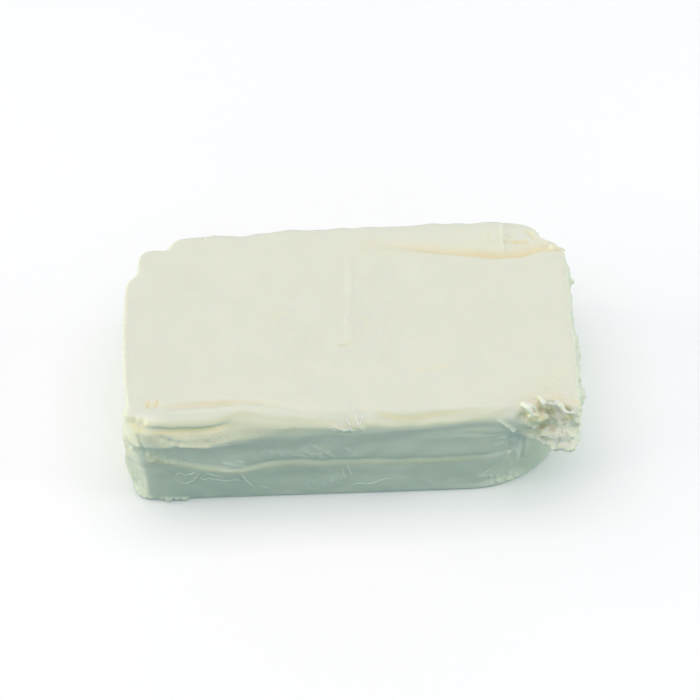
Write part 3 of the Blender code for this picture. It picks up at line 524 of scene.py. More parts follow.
left_end_out = end_marks(-1, LEFT_SEED) + through(across, LEFT_RIM) * rise(up, *LEFT_RIM_UP)
left_end_out += LEFT_FLARE * swell(y - LEFT_FLARE_AT, LEFT_FLARE_WIDTH) * window(up, *LEFT_FLARE_UP)
right_end_out = end_marks(1, RIGHT_SEED) * (1 - BESIDE_TORN_CALM * rise(-across, *BESIDE_TORN))


# THE BACK. It draws in towards its two ends, and has a ledge as the front has, lower and plainer,
# with two slanting creases. The rounded back corners were pinched in as the block was unwrapped.
BACK_DRAWN_IN = ((-1.0, 1.0), (-0.7, 0.7), (-0.3, -0.2), (0.1, -0.8), (0.5, -0.4), (0.8, 0.4))
BACK_LEDGE = ((-1.0, 0.5), (-0.4, 0.47), (0.2, 0.52), (0.7, 0.48), (1.0, 0.52))
BACK_LEDGE_RISE, BACK_LEDGE_OUT_BELOW, BACK_LEDGE_STEP_IN = (-0.6, 0.6), 0.3, 1.1
BACK_BAND, BACK_BAND_BACK_OUT = (1.0, 12.0), 0.8
BACK_CREASES = (((-0.84, 0.88), (-0.52, 0.48), 0.6, 1.0), ((0.58, 0.46), (0.82, 0.86), 0.6, 1.0))
PINCHES = (((-0.845, 0.9), 1.7, 2.6), ((-1.0, 0.62), 1.9, 3.2), ((0.93, 0.84), 1.9, 2.6))
PINCHED_FROM = (0.25, 0.6)

over_back_ledge = z - through(along, BACK_LEDGE) * HEIGHT
back_out = BACK_LEDGE_OUT_BELOW - BACK_LEDGE_STEP_IN * rise(over_back_ledge, *BACK_LEDGE_RISE)
back_out += BACK_BAND_BACK_OUT * rise(over_back_ledge, *BACK_BAND) - through(along, BACK_DRAWN_IN)
marked(back_out, BACK_CREASES, x, z, FRONT_PLANE)

pinch = np.zeros_like(x)
pushed(pinch, PINCHES, x, y, TOP_PLANE)
pinch *= rise(up, *PINCHED_FROM)


# THE UNDERSIDE. The block stands on it. The foil's long seam and the four folds of its ends are
# pressed into it.
UNDER_SEAM, UNDER_SEAM_FADE, UNDER_SEAM_DEPTH = 0.16, (0.78, 0.88), 0.45
UNDER_SEAM_WAVE, UNDER_SEAM_WAVELENGTH = 0.8, 107.0
UNDER_FOLD, UNDER_FOLD_DEPTH, UNDER_MARK_WIDTH = ((0.96, 0.9), (0.76, 0.4)), 0.4, 0.9

under_seam_y = UNDER_SEAM * HALF_WIDTH + UNDER_SEAM_WAVE * np.sin(2 * np.pi * x / UNDER_SEAM_WAVELENGTH)
pressed_in = UNDER_SEAM_DEPTH * swell(y - under_seam_y, UNDER_MARK_WIDTH)
pressed_in *= 1 - rise(abs(along), *UNDER_SEAM_FADE)
pressed_in += UNDER_FOLD_DEPTH * swell(from_line(abs(x), abs(y), *UNDER_FOLD, TOP_PLANE), UNDER_MARK_WIDTH)
pressed_in *= lattice[:, 2] == 0


# THE SHAPE OF ALL SIX SIDES. Each side's marks move the cheese near that side only, and they fade
# out at the foot, which stays flat.
SKIN = 7.0
FOOT = (0.3, 3.3)
FRONT_SOFTNESS, BACK_SOFTNESS, TOP_SOFTNESS = 1.6, 2.0, 0.8
TORN_ON_THE_END = 0.2

near_front, near_back = (rise(side * y, HALF_WIDTH - SKIN, HALF_WIDTH) for side in (-1, 1))
near_left, near_right = (rise(side * x, HALF_LENGTH - SKIN, HALF_LENGTH) for side in (-1, 1))
near_top = rise(z, HEIGHT - SKIN, HEIGHT)
standing = rise(z, *FOOT)

shaped = np.stack([
    x + standing * (near_right * (right_end_out + TORN_ON_THE_END * torn_out) - near_left * left_end_out)
    - pinch * along,
    y + standing * (near_back * (back_out + BACK_SOFTNESS * soft)
                    - near_front * (front_out + FRONT_SOFTNESS * soft + torn_out)) - pinch * across,
    z + near_top * (top_out + TOP_SOFTNESS * soft) + pressed_in,
], -1)


# THE PARED CORNER. Below the lip the front left corner is taken off nearly flat, where the foil's
# fold drew the cheese away. Its face is a little uneven and leans out near the top, and its edges
# are soft, less so higher up.
# The way that it faces in plan, how far from the middle it lies, and the heights that it fades out
# between. Then the heights that it leans out between, and how far.
FACET_WAY, FACET_REACH, FACET_UNDER = (-0.8, -0.6), 60.7, (0.965, 0.93)
FACET_TIP, FACET_TIP_RISE = (0.2, 0.84), 2.1
FACET_HILL_SIZE, FACET_HILL_HEIGHT = 3.0, 0.3
FACET_EDGE_UP, FACET_EDGE_WIDTH = (0.45, 0.65), (0.8, 0.3)

past_facet = shaped[:, :2] @ FACET_WAY - FACET_REACH - FACET_TIP_RISE * rise(up, *FACET_TIP)
past_facet -= FACET_HILL_HEIGHT * lumps(rounded_box, FACET_HILL_SIZE, 41)
edge_width = np.interp(up, FACET_EDGE_UP, FACET_EDGE_WIDTH)
past_facet = (past_facet + np.hypot(past_facet, edge_width)) / 2 * rise(up, *FACET_UNDER) * standing
shaped[:, :2] -= past_facet[:, None] * FACET_WAY

bare_block = bpy.data.meshes.new("bare block")
bare_block.from_pydata((shaped * MM).tolist(), [], quads.tolist())
outward = np.empty(len(shaped) * 3)
bare_block.vertex_normals.foreach_get("vector", outward)
outward = outward.reshape(-1, 3)
bpy.data.meshes.remove(bare_block)


# CRUMBS AND FLAKES. Bits of the same cheese that the foil pulled up and left hanging on the torn
# corner, on the ends and on the top's edges. Each is a rough lump, and a hook is a row of them.
# They are put into the block's mesh here, and fused with it in the next section.
CRUMB_BUMPS = ((1.3, 0.7), (3.3, 0.5), (7.0, 0.2))
crumb_points, crumb_faces = [], []
ball = bmesh.new()
bmesh.ops.create_icosphere(ball, subdivisions=3, radius=1.0)
BALL_POINTS = np.array([v.co for v in ball.verts])
BALL_FACES = np.array([[v.index for v in f.verts] for f in ball.faces])
ball.free()


def crumb(place, size, turn=np.eye(3)):
    """A rough lump: size is its three half widths, and the rows of turn are the ways that they point."""
    shift = Vector((len(crumb_points) * 3.1, len(crumb_points) * 5.3, 0))
    swollen = [1 + sum(h * noise.noise(Vector(p) * s + shift) for s, h in CRUMB_BUMPS) for p in BALL_POINTS]
    crumb_faces.append(BALL_FACES + len(crumb_points) * len(BALL_POINTS))
    crumb_points.append(place + (BALL_POINTS * np.array(swollen)[:, None] * size) @ turn)


def hook(path, thick, thin):
    """A drawn-out shred: a row of lumps along the path of places, from thick to thin."""
    path = np.array(path, float)
    reach = np.r_[0, np.cumsum(np.linalg.norm(np.diff(path, axis=0), axis=1))]
    count = int(reach[-1] / (0.5 * (thick + thin) / 2)) + 2
    for share in np.linspace(0, 1, count):
        place = [np.interp(share * reach[-1], reach, path[:, axis]) for axis in range(3)]
        crumb(place, (thick + (thin - thick) * share,) * 3)


def tilt(degrees):
    """A turn about the front's normal."""
    return np.array(Matrix.Rotation(np.radians(degrees), 3, "Y")).T


# Along, how far behind the front, up, the half widths, and the turn about the front's normal.
TORN_CRUMBS = (
    (0.8, 0.2, 0.915, (1.7, 1.3, 1.5), 10),
    (0.772, 0.6, 0.87, (0.8, 1.0, 1.8), 25),
    (0.835, 0.6, 0.89, (1.3, 1.2, 1.0), -20),
    (0.862, -0.2, 0.73, (1.7, 1.4, 1.2), 15),
    (0.905, -1.0, 0.72, (1.8, 1.5, 1.4), -15),
    (0.955, -0.9, 0.74, (1.9, 1.5, 1.5), 25),
    (0.885, 0.2, 0.65, (1.5, 1.4, 1.1), 10),
    (0.935, -0.6, 0.64, (1.7, 1.5, 1.1), -12),
    (0.983, 0.2, 0.64, (1.4, 1.5, 1.1), 12),
    (0.985, 1.0, 0.82, (1.2, 1.4, 2.0), 4),
    (0.735, 0.8, 0.76, (0.7, 0.7, 1.3), 40),
)
for at, behind, high, size, turn in TORN_CRUMBS:
    crumb((at * HALF_LENGTH, behind - HALF_WIDTH, high * HEIGHT), size, tilt(turn))

# Shreds that hang from the top plate over the torn corner: path as along, behind the front and up.
TORN_HOOKS = (
    (((0.748, 2.2, 1.0), (0.765, 0.7, 1.01), (0.782, 0.0, 0.98), (0.786, -0.3, 0.94), (0.797, -0.4, 0.93)),
     0.6, 0.3),
    (((0.765, 2.2, 1.0), (0.783, 1.2, 1.02), (0.8, 0.6, 1.0)), 0.4, 0.25),
    (((0.826, 4.2, 1.0), (0.822, 3.0, 1.04), (0.828, 1.8, 1.03), (0.838, 1.2, 0.99)), 0.5, 0.25),
    (((0.838, 3.0, 1.0), (0.848, 2.0, 1.02), (0.86, 1.6, 1.0)), 0.3, 0.2),
    (((0.895, 2.4, 1.0), (0.912, 1.1, 1.01), (0.924, 0.3, 0.98), (0.932, -0.1, 0.93), (0.948, -0.3, 0.9)),
     0.65, 0.35),
    (((0.928, 0.3, 0.96), (0.95, -0.2, 0.97), (0.975, 0.0, 0.96)), 0.4, 0.25),
    (((0.866, 2.4, 1.0), (0.876, 1.5, 1.01), (0.882, 1.2, 0.99)), 0.35, 0.2),
)
for path, thick, thin in TORN_HOOKS:
    hook([(a * HALF_LENGTH, b - HALF_WIDTH, c * HEIGHT) for a, b, c in path], thick, thin)

# Flakes on the back strip's right end and at the plate's back right corner.
CORNER_FLAKES = (
    (0.875, 0.86, 0.965, (1.3, 0.9, 0.6)), (0.905, 0.79, 0.97, (0.9, 1.0, 0.5)),
    (0.955, 0.69, 1.005, (1.2, 0.7, 0.5)), (0.985, 0.66, 0.99, (1.1, 0.8, 0.5)),
    (0.88, 0.83, 0.99, (0.7, 0.7, 0.6)), (0.895, 0.74, 0.985, (0.6, 0.8, 0.5)),
)
for at, deep, high, size in CORNER_FLAKES:
    crumb((at * HALF_LENGTH, deep * HALF_WIDTH, high * HEIGHT), size)

# Crumbs at the foot of the pared corner: along, how far behind the front, up and the half widths.
FOOT_CRUMBS = (
    (-0.912, 0.6, 0.04, (1.0, 0.8, 0.6)), (-0.84, -0.1, 0.028, (1.1, 0.8, 0.6)),
    (-0.872, 0.2, 0.03, (0.6, 0.6, 0.5)), (-0.8, -0.1, 0.026, (0.7, 0.6, 0.5)),
    (-0.765, -0.2, 0.026, (0.8, 0.6, 0.5)), (-0.945, 2.4, 0.035, (0.7, 0.7, 0.5)),
    (-1.0, 7.0, 0.2, (0.7, 0.7, 0.7)), (-1.002, 6.0, 0.33, (0.6, 0.7, 0.8)),
)
for at, behind, high, size in FOOT_CRUMBS:
    crumb((at * HALF_LENGTH, behind - HALF_WIDTH, high * HEIGHT), size)

# Scattered crumbs: how many, the least and the most of their half widths, and the part of the
# block that they lie on, as a weight at each point of its surface.
scatter = np.random.default_rng(7)
SCATTERED = (
    (150, 0.3, 0.85, torn * near_front),
    (50, 0.35, 0.9, torn * near_right),
    (60, 0.16, 0.4,
     window(along, 0.72, 0.76, 0.96, 1.0) * near_front ** 2 * rise(-across, 0.88, 0.93) * rise(up, 0.93, 0.97)),
    (40, 0.25, 0.5, window(along, 0.66, 0.7, 0.76, 0.82) * near_front ** 4 * window(up, 0.42, 0.5, 0.66, 0.74)),
    (110, 0.35, 0.85, near_right ** 4 * window(up, 0.3, 0.5, 0.8, 0.9) * (across < 0.75)),
    (60, 0.3, 0.6, near_left ** 4 * window(up, 0.12, 0.3, 0.75, 0.9) * (across < 0.2)),
    (14, 0.3, 0.6, near_left ** 4 * near_front * window(up, 0.0, 0.05, 0.15, 0.3)),
    (10, 0.25, 0.5, (along < -0.8) * near_front * window(up, 0.02, 0.04, 0.08, 0.12)),
    (45, 0.2, 0.36, window(along, 0.6, 0.65, 0.74, 0.78) * near_front * window(up, 0.34, 0.42, 0.54, 0.6)),
    (34, 0.2, 0.4, window(along, -0.94, -0.9, -0.8, -0.7) * near_front * window(up, 0.52, 0.58, 0.7, 0.78)),
    (26, 0.25, 0.55, window(along, 0.58, 0.66, 0.76, 0.8) * near_front * window(up, 0.01, 0.03, 0.1, 0.16)),
    (9, 0.3, 0.5, window(along, -0.68, -0.66, -0.6, -0.58) * near_back ** 6 * (up > 0.97)),
    (20, 0.35, 0.7, near_back ** 4 * window(up, 0.1, 0.2, 0.8, 0.9)),
)
WIDE_SHARE, THICK_SHARE, SUNK = (0.6, 1.0), (0.45, 0.8), (-0.5, 0.5)
for count, least, most, weight in SCATTERED:
    weight = weight * (lattice[:, 2] > 0)
    for i in scatter.choice(len(shaped), count, p=weight / weight.sum()):
        long = scatter.uniform(least, most)
        half_widths = (long, long * scatter.uniform(*WIDE_SHARE), long * scatter.uniform(*THICK_SHARE))
        side = np.cross(outward[i], scatter.normal(size=3))
        side /= np.linalg.norm(side)
        turn = np.stack([side, np.cross(outward[i], side), outward[i]])
        crumb(shaped[i] + outward[i] * half_widths[2] * scatter.uniform(*SUNK), half_widths, turn)


# ONE SKIN. The crumbs are the same cheese as the block, so all of it becomes one closed skin with
# no seams: it is remade over a fine grid, smoothed a little, and thinned out where it is flat.
GRID = 0.31
SMOOTHING, SMOOTHING_ROUNDS = 0.5, 2
MOST_TRIANGLES = 188000

crumb_faces = np.concatenate(crumb_faces) + len(shaped)
block_mesh = bpy.data.meshes.new("cheese_block")
block_mesh.from_pydata(
    (np.concatenate([shaped, *crumb_points]) * MM).tolist(), [], quads.tolist() + crumb_faces.tolist()
)
block = bpy.data.objects.new("cheese_block", block_mesh)
bpy.context.scene.collection.objects.link(block)


def settle(piece):
    """Applies the piece's modifiers to its mesh."""
    graph = bpy.context.evaluated_depsgraph_get()
    before, settled = piece.data, bpy.data.meshes.new_from_object(piece.evaluated_get(graph))
    piece.modifiers.clear()
    piece.data = settled
    bpy.data.meshes.remove(before)
    settled.name = piece.name


skin = block.modifiers.new("One skin", "REMESH")
skin.mode = "VOXEL"
skin.voxel_size = GRID * MM
soften = block.modifiers.new("Soften", "SMOOTH")
soften.factor = SMOOTHING
soften.iterations = SMOOTHING_ROUNDS
settle(block)
thin = block.modifiers.new("Thin", "DECIMATE")
thin.ratio = min(1.0, MOST_TRIANGLES / sum(len(p.vertices) - 2 for p in block.data.polygons))
settle(block)
block.data.shade_smooth()


# THE CHEESE'S COLOUR. Ivory where it is smooth, with painted warm shade down in its folds and hollows,
# and chalky where thin edges have dried. Painted grey-green shade lies on the front, and painted light on
# the pared corner. The foil left a fine print of dots in places. Each of these is a mask on the mesh,
# which the material reads.
POINT_COUNT = len(block.data.vertices)


def per_point(attribute, name):
    """Reads three numbers of each point of the block's mesh."""
    values = np.empty(POINT_COUNT * 3)
    attribute.foreach_get(name, values)
    return values.reshape(-1, 3)


places = per_point(block.data.vertices, "co") / MM
facing = per_point(block.data.vertex_normals, "vector")
px, py, pz = places.T
at, deep, high = px / HALF_LENGTH, py / HALF_WIDTH, pz / HEIGHT
edges = np.empty(len(block.data.edges) * 2, int)
block.data.edges.foreach_get("vertices", edges)
edges = edges.reshape(-1, 2)
neighbours = np.bincount(edges.ravel(), minlength=POINT_COUNT)


OWN_SHARE = 0.4


def relaxed(values, rounds):
    """The values with each point's averaged over its neighbours, a number of times."""
    for _ in range(rounds):
        near = np.zeros_like(values)
        for axis in range(values.shape[1]):
            for here, there in (edges.T, edges.T[::-1]):
                near[:, axis] += np.bincount(here, values[there, axis], POINT_COUNT)
        values = OWN_SHARE * values + (1 - OWN_SHARE) * near / neighbours[:, None]
    return values


def blotches(size, seed, start, full):
    """A random mask of blotches, each about size across."""
    return rise(lumps(places, size, seed), start, full)


def patch(along_span, up_span):
    """A soft-edged part of the front, between places along and heights."""
    return window(at, *along_span) * window(high, *up_span)


def beside_end(from_along, from_front, from_up):
    """The part of the block past a place along, near the front and above a height."""
    return rise(at, *from_along) * rise(-deep, *from_front) * rise(high, *from_up)


# Hollows and ridges, from how far each point lies in or out of the skin around it.
HOLLOW_BEND, RIDGE_BEND = (0.02, 0.35), (0.04, 0.4)
bend = ((relaxed(places, 8) - places) * facing).sum(1)
hollow = rise(relaxed(bend[:, None], 2)[:, 0], *HOLLOW_BEND)
chalk_and_painted_light = rise(-relaxed(bend[:, None], 1)[:, 0], *RIDGE_BEND)

# The parts of the block that the masks need.
TOP_FACING, TOP_FROM, FRONT_FACING, BARELY_FRONT = (0.35, 0.8), 0.88, (0.3, 0.8), (0.2, 0.5)
LIP_FACING_UP, LIP_UP = (0.05, 0.35, 0.8, 0.97), (0.6, 0.8)
FACET_LEFT, FACET_FRONT, FACET_END, FACET_UPPER = (0.45, 0.7), (0.1, 0.4), -0.85, (0.45, 0.7)
TORN_PART = ((0.7, 0.78), (0.75, 0.92), (0.62, 0.75))
HANGING_PART = ((0.73, 0.76), (0.88, 0.93), (0.93, 0.97))

on_top = rise(facing[:, 2], *TOP_FACING) * (high > TOP_FROM)
on_front = rise(-facing[:, 1], *FRONT_FACING)
on_lip = window(facing[:, 2], *LIP_FACING_UP) * rise(-facing[:, 1], *BARELY_FRONT) * rise(high, *LIP_UP)
on_facet = rise(-facing[:, 0], *FACET_LEFT) * rise(-facing[:, 1], *FACET_FRONT) * (at < FACET_END)
torn_part, hanging = beside_end(*TORN_PART), beside_end(*HANGING_PART)
over_slit = pz - through(at, [(a, b) for a, b, _ in SLIT]) * HEIGHT
over_ledge = pz - through(at, [(a, b) for a, b, _ in LEDGE_EDGE]) * HEIGHT

# Painted warm shade lies in the groove, in the crease behind the lip, in the nicks and in the streaks.
# The smears are a warm tint of the cheese's own.
GROOVE_SHADE = ((0.05, 0.0), (0.22, 0.2), (0.4, 0.5), (0.6, 0.8), (0.78, 0.9), (0.92, 0.7), (1.0, 0.3))
GROOVE_SHADE_WIDTHS = (0.7, 1.8)
LIP_CREASE_SHADE = (
    (-0.9, 0.1), (-0.7, 0.25), (-0.5, 0.25), (-0.2, 0.15), (0.1, 0.3), (0.2, 0.6), (0.32, 0.5),
    (0.42, 0.2), (0.7, 0.1),
)
LIP_CREASE_SHADE_SPAN, LIP_CREASE_SHADE_WIDTH = (-0.95, -0.85, 0.55, 0.7), 0.36
NICK_SHADE, NICK_SHADE_WIDTH, STREAK_SHADE = 0.9, 0.5, 1.8

behind = py - through(at, GROOVE) * HALF_WIDTH
warm_shade_and_tint = through(at, GROOVE_SHADE) * swell(behind, np.where(behind < 0, *GROOVE_SHADE_WIDTHS)) * on_top
behind = py - through(at, LIP_CREASE) * HALF_WIDTH
warm_shade_and_tint += window(at, *LIP_CREASE_SHADE_SPAN) * through(at, LIP_CREASE_SHADE) * swell(behind, LIP_CREASE_SHADE_WIDTH) * on_top
shaded_nicks = tuple((start, end, NICK_SHADE, NICK_SHADE_WIDTH) for start, end, _, _ in NICKS)
marked(warm_shade_and_tint, shaded_nicks + SMEARS, px, py, TOP_PLANE, where=on_top)
marked(warm_shade_and_tint, STREAKS, px, py, TOP_PLANE, by=STREAK_SHADE, where=on_top)

# Painted warm shade also lies on the lip's rounded edge, over the slit, in the pits on the left and in
# the hollows, most in those of the torn corner. The pared corner's upper half is painted warm where the
# left lamp lights it, as painted light. A warm tint lies on the ledge, on the lumps on the left and, in
# blotches, on the torn corner.
LIP_EDGE_WARM_SHADE, LIP_EDGE_MORE_LEFT, LIP_EDGE_LEFT, LIP_EDGE_FROM = 0.32, 0.06, (0.35, 0.6), (-0.75, -0.55)
SLIT_SHADE, SLIT_SHADE_SPAN, SLIT_SHADE_PLACE, SLIT_SHADE_WIDTH = 0.6, (-0.91, -0.85, -0.62, -0.5), 0.6, 0.38
LEDGE_WARMTH, LEDGE_WARM_SPAN, LEDGE_WARM_WIDTH = 0.34, (-0.95, -0.9, 0.5, 0.7), 0.9
FACET_WARM_LIGHT, PIT_SHADE, LUMP_WARMTH = 0.3, 0.6, 0.3
TORN_WARMTH, TORN_HOLLOW_SHADE, TORN_BLOTCH_WARMTH, HOLLOW_SHADE = 0.28, 0.8, 0.6, 0.1
TORN_BLOTCHES, TORN_BLOTCHES_UP = (2.6, 83, 0.0, 0.6), (0.8, 0.9)

left_more = LIP_EDGE_MORE_LEFT * rise(-at, *LIP_EDGE_LEFT)
warm_shade_and_tint += (LIP_EDGE_WARM_SHADE + left_more) * on_lip * rise(-at, *LIP_EDGE_FROM)
by_slit = window(at, *SLIT_SHADE_SPAN) * swell(over_slit - SLIT_SHADE_PLACE, SLIT_SHADE_WIDTH) * (deep < -0.95)
warm_shade_and_tint += SLIT_SHADE * by_slit
warm_shade_and_tint += LEDGE_WARMTH * window(at, *LEDGE_WARM_SPAN) * swell(over_ledge, LEDGE_WARM_WIDTH) * on_front
# Painted warm light on the pared corner's upper half, where the left lamp falls.
warm_shade_and_tint += FACET_WARM_LIGHT * on_facet * rise(high, *FACET_UPPER)
for spot, push, radius in LEFT_SPOTS:
    share = PIT_SHADE if push < 0 else LUMP_WARMTH
    warm_shade_and_tint += share * swell(from_spot(px, pz, spot, FRONT_PLANE), radius) * (deep < -0.8)
blotch = blotches(*TORN_BLOTCHES) * rise(high, *TORN_BLOTCHES_UP)
warm_shade_and_tint += torn_part * (TORN_WARMTH + TORN_HOLLOW_SHADE * hollow + TORN_BLOTCH_WARMTH * blotch)
warm_shade_and_tint += HOLLOW_SHADE * hollow

# Chalky, drier cheese on thin edges: the drag marks and the higher creases, rough specks over and
# under the ledge, and what hangs from the torn corner. The pared corner's upper half is lightened too,
# as painted light where the left lamp falls on it.
CHALKY_FROM, STROKE_CHALK, FACET_PAINTED_LIGHT, SPECK_CHALK, HANGING_CHALK = 0.3, 0.7, 0.9, 0.8, 1.5
SPECKS_OVER = ((-0.56, -0.5, -0.08, 0.02), (0.5, 2.0, 12.0, 15.0))
SPECKS_UNDER = ((-0.3, -0.22, -0.02, 0.08), (0.5, 1.5, 9.0, 12.0))
LOW_SPECKS, LOW_SPECKS_PATCH = 0.7, ((0.05, 0.15, 0.5, 0.6), (0.06, 0.1, 0.16, 0.22))
SPECK_SIZE, SPECK_SQUEEZE, SPECK_SEED, SPECK_FROM = 0.7, (1.0, 1.0, 0.6), 97, (0.42, 0.75)
TORN_FACE_FROM, HANGING_COOLER = (0.8, 0.86), 0.7

strokes = DRAG_MARKS + tuple(crease for crease in FRONT_CREASES if crease[2] > CHALKY_FROM)
stroked = sum(swell(from_line(px, pz, start, end, FRONT_PLANE), width) for start, end, _, width in strokes)
chalk_and_painted_light = np.maximum(chalk_and_painted_light, STROKE_CHALK * np.clip(stroked, 0, 1) * on_front)
# Painted light on the pared corner's upper half.
chalk_and_painted_light = np.maximum(chalk_and_painted_light, FACET_PAINTED_LIGHT * on_facet * rise(high, *FACET_UPPER))
specked = window(at, *SPECKS_OVER[0]) * window(over_ledge, *SPECKS_OVER[1])
specked += window(at, *SPECKS_UNDER[0]) * window(-over_ledge, *SPECKS_UNDER[1])
specked += LOW_SPECKS * patch(*LOW_SPECKS_PATCH)
specks = np.zeros_like(at)
near_specks = specked * on_front > 0.05
specks[near_specks] = rise(lumps(places[near_specks] * SPECK_SQUEEZE, SPECK_SIZE, SPECK_SEED), *SPECK_FROM)
chalk_and_painted_light = np.maximum(chalk_and_painted_light, SPECK_CHALK * specks * specked * on_front)
chalk_and_painted_light = np.maximum(chalk_and_painted_light, HANGING_CHALK * hanging * (1 - hollow))
chalk_and_painted_light = np.maximum(chalk_and_painted_light, torn_part * rise(at, *TORN_FACE_FROM) * (1 - hollow))
warm_shade_and_tint *= 1 - HANGING_COOLER * hanging * (1 - hollow)

# The foil's print shows in blotches on the plate, and faintly on the left of the front.
PRINT_ALONG, PRINT_ACROSS = (-0.9, -0.5, 0.8, 0.95), (-0.75, -0.5, 0.75, 0.95)
PRINT_BLOTCHES = (14.0, 71, -0.35, 0.5)
FRONT_PRINT, FRONT_PRINT_PATCH = 0.6, ((-0.6, -0.5, -0.1, 0.3), (0.1, 0.3, 0.93, 0.97))

printed = window(at, *PRINT_ALONG) * window(deep, *PRINT_ACROSS) * on_top * blotches(*PRINT_BLOTCHES)
printed += FRONT_PRINT * rise(-facing[:, 1], *BARELY_FRONT) * patch(*FRONT_PRINT_PATCH)

# The grain is rough on the torn corner and on both ends, and a little on the roll and the band.
ROUGH_ALONG, ROUGH_ACROSS, ROUGH_ENDS = (0.74, 0.8), (0.6, 0.9), (0.97, 1.0)
GRAINY, GRAINY_PATCH = 0.9, ((-0.97, -0.93, -0.2, 0.3), (0.5, 0.6, 0.93, 0.96))
GRAINY_BLOTCHES = (5.0, 77, -0.7, 0.2)

crumbled = rise(at, *ROUGH_ALONG) * rise(-deep, *ROUGH_ACROSS) + rise(abs(at), *ROUGH_ENDS)
crumbled += GRAINY * patch(*GRAINY_PATCH) * rise(-facing[:, 1], *FACET_FRONT) * blotches(*GRAINY_BLOTCHES)

# Painted grey-green shade, where the front lies in shade: below the ledge, most of all on the left, and
# broken by blotches. Also in bands just over and along the ledge, under the overhang beside the torn
# corner, on the right of the roll, on the lip's brow, on the foot of the pared corner and on the lip's edge.
LOW_BAND_SHADE, LOW_BAND_SHADE_MORE, LOW_BAND_SHADE_LEFT = 0.55, 0.45, (-0.1, 0.3)
UNDER_LEDGE, LOW_BAND_SHADE_FROM, SHADE_GAP_BLOTCHES, SHADE_GAP_SHARE = (0.0, 1.2), (-0.93, -0.86), (6.0, 91, 0.0, 0.7), 0.35
LEDGE_SHADE_BANDS = ((0.85, 2.6, 1.9, (-0.6, -0.4, 0.55, 0.68)), (1.0, 0.0, 0.9, (-0.5, -0.25, 0.5, 0.62)))
BESIDE_TORN_SHADE, BESIDE_TORN_SHADE_FROM, BESIDE_TORN_SHADE_UNDER = 0.5, (0.78, 0.84), (-0.6, -0.54)
ROLL_SHADE, ROLL_SHADE_PATCH = 0.3, ((-0.52, -0.45, -0.15, 0.0), (0.8, 0.84, 0.92, 0.95))
LIP_BROW_SHADE, LIP_BROW_SHADE_ACROSS, LIP_BROW_SHADE_SPAN, LIP_EDGE_GREY_SHADE = 0.35, (0.9, 0.96), (-0.88, -0.8, 0.6, 0.7), 0.15
FACET_SHADE, FACET_SHADE_UNDER = 0.6, (-0.55, -0.35)

painted_shade = (LOW_BAND_SHADE + LOW_BAND_SHADE_MORE * rise(-at, *LOW_BAND_SHADE_LEFT)) * rise(at, *LOW_BAND_SHADE_FROM)
painted_shade *= on_front * rise(-over_ledge, *UNDER_LEDGE) * (1 - SHADE_GAP_SHARE * blotches(*SHADE_GAP_BLOTCHES))
for share, over, width, span in LEDGE_SHADE_BANDS:
    painted_shade += share * on_front * swell(over_ledge - over, width) * window(at, *span)
painted_shade += BESIDE_TORN_SHADE * on_front * rise(at, *BESIDE_TORN_SHADE_FROM) * rise(-high, *BESIDE_TORN_SHADE_UNDER)
painted_shade += ROLL_SHADE * on_front * patch(*ROLL_SHADE_PATCH)
painted_shade += LIP_BROW_SHADE * rise(-deep, *LIP_BROW_SHADE_ACROSS) * (high > 0.9) * window(at, *LIP_BROW_SHADE_SPAN)
# Painted shade on the lower half of the pared corner, and on the lip's rounded edge.
painted_shade = np.maximum(painted_shade, FACET_SHADE * on_facet * rise(-high, *FACET_SHADE_UNDER)) + LIP_EDGE_GREY_SHADE * on_lip

layers = {"warm_shade_and_tint": warm_shade_and_tint, "chalk_and_painted_light": chalk_and_painted_light, "foil_print": printed, "crumbled": crumbled, "painted_shade": painted_shade}
for name, strength in layers.items():
    layer = block.data.attributes.new(name, "FLOAT", "POINT")
    layer.data.foreach_set("value", np.clip(strength, 0, 1).astype(np.float32))


def add(tree, kind, inputs=None, **settings):
    """A node with its settings, and its inputs set to values or linked from other nodes' outputs."""
    new = tree.nodes.new(f"ShaderNode{kind}")
    for name, value in settings.items():
        setattr(new, name, value)
    for name, value in (inputs or {}).items():
        if isinstance(value, bpy.types.NodeSocket):
            tree.links.new(value, new.inputs[name])
        else:
            new.inputs[name].default_value = value
    return new


def reckon(tree, operation, first, second):
    """One step of arithmetic."""
    return add(tree, "Math", {0: first, 1: second}, operation=operation).outputs[0]


def mixed(tree, share, first, second):
    """One colour turned into another by a share."""
    return add(tree, "Mix", {0: share, 6: first, 7: second}, data_type="RGBA").outputs[2]


def curd_group():
    """The fine grain of soft cheese, which every piece of it has: a mottle and a height."""
    tree = bpy.data.node_groups.new("curd grain", "ShaderNodeTree")
    tree.interface.new_socket("Size", in_out="INPUT", socket_type="NodeSocketFloat")
    tree.interface.new_socket("Mottle", in_out="OUTPUT", socket_type="NodeSocketFloat")
    tree.interface.new_socket("Height", in_out="OUTPUT", socket_type="NodeSocketFloat")
    given, out = tree.nodes.new("NodeGroupInput"), tree.nodes.new("NodeGroupOutput")
    where = add(tree, "TexCoord").outputs["Object"]
    scale = reckon(tree, "DIVIDE", 1.0, given.outputs["Size"])
    broad = add(tree, "TexNoise", {"Vector": where, "Scale": scale, "Detail": 3.0, "Roughness": 0.55})
    tree.links.new(broad.outputs["Fac"], out.inputs["Mottle"])
    fine_scale = reckon(tree, "MULTIPLY", scale, 18.0)
    fine = add(tree, "TexNoise", {"Vector": where, "Scale": fine_scale, "Detail": 4.0, "Roughness": 0.65})
    tree.links.new(fine.outputs["Fac"], out.inputs["Height"])
    return tree


def finish(name, settings):
    """A new material with its plain values set: gives it, its nodes and its shader."""
    made = bpy.data.materials.new(name)
    made.use_nodes = True
    shader = made.node_tree.nodes["Principled BSDF"]
    for setting, value in settings.items():
        shader.inputs[setting].default_value = value
    return made, made.node_tree, shader


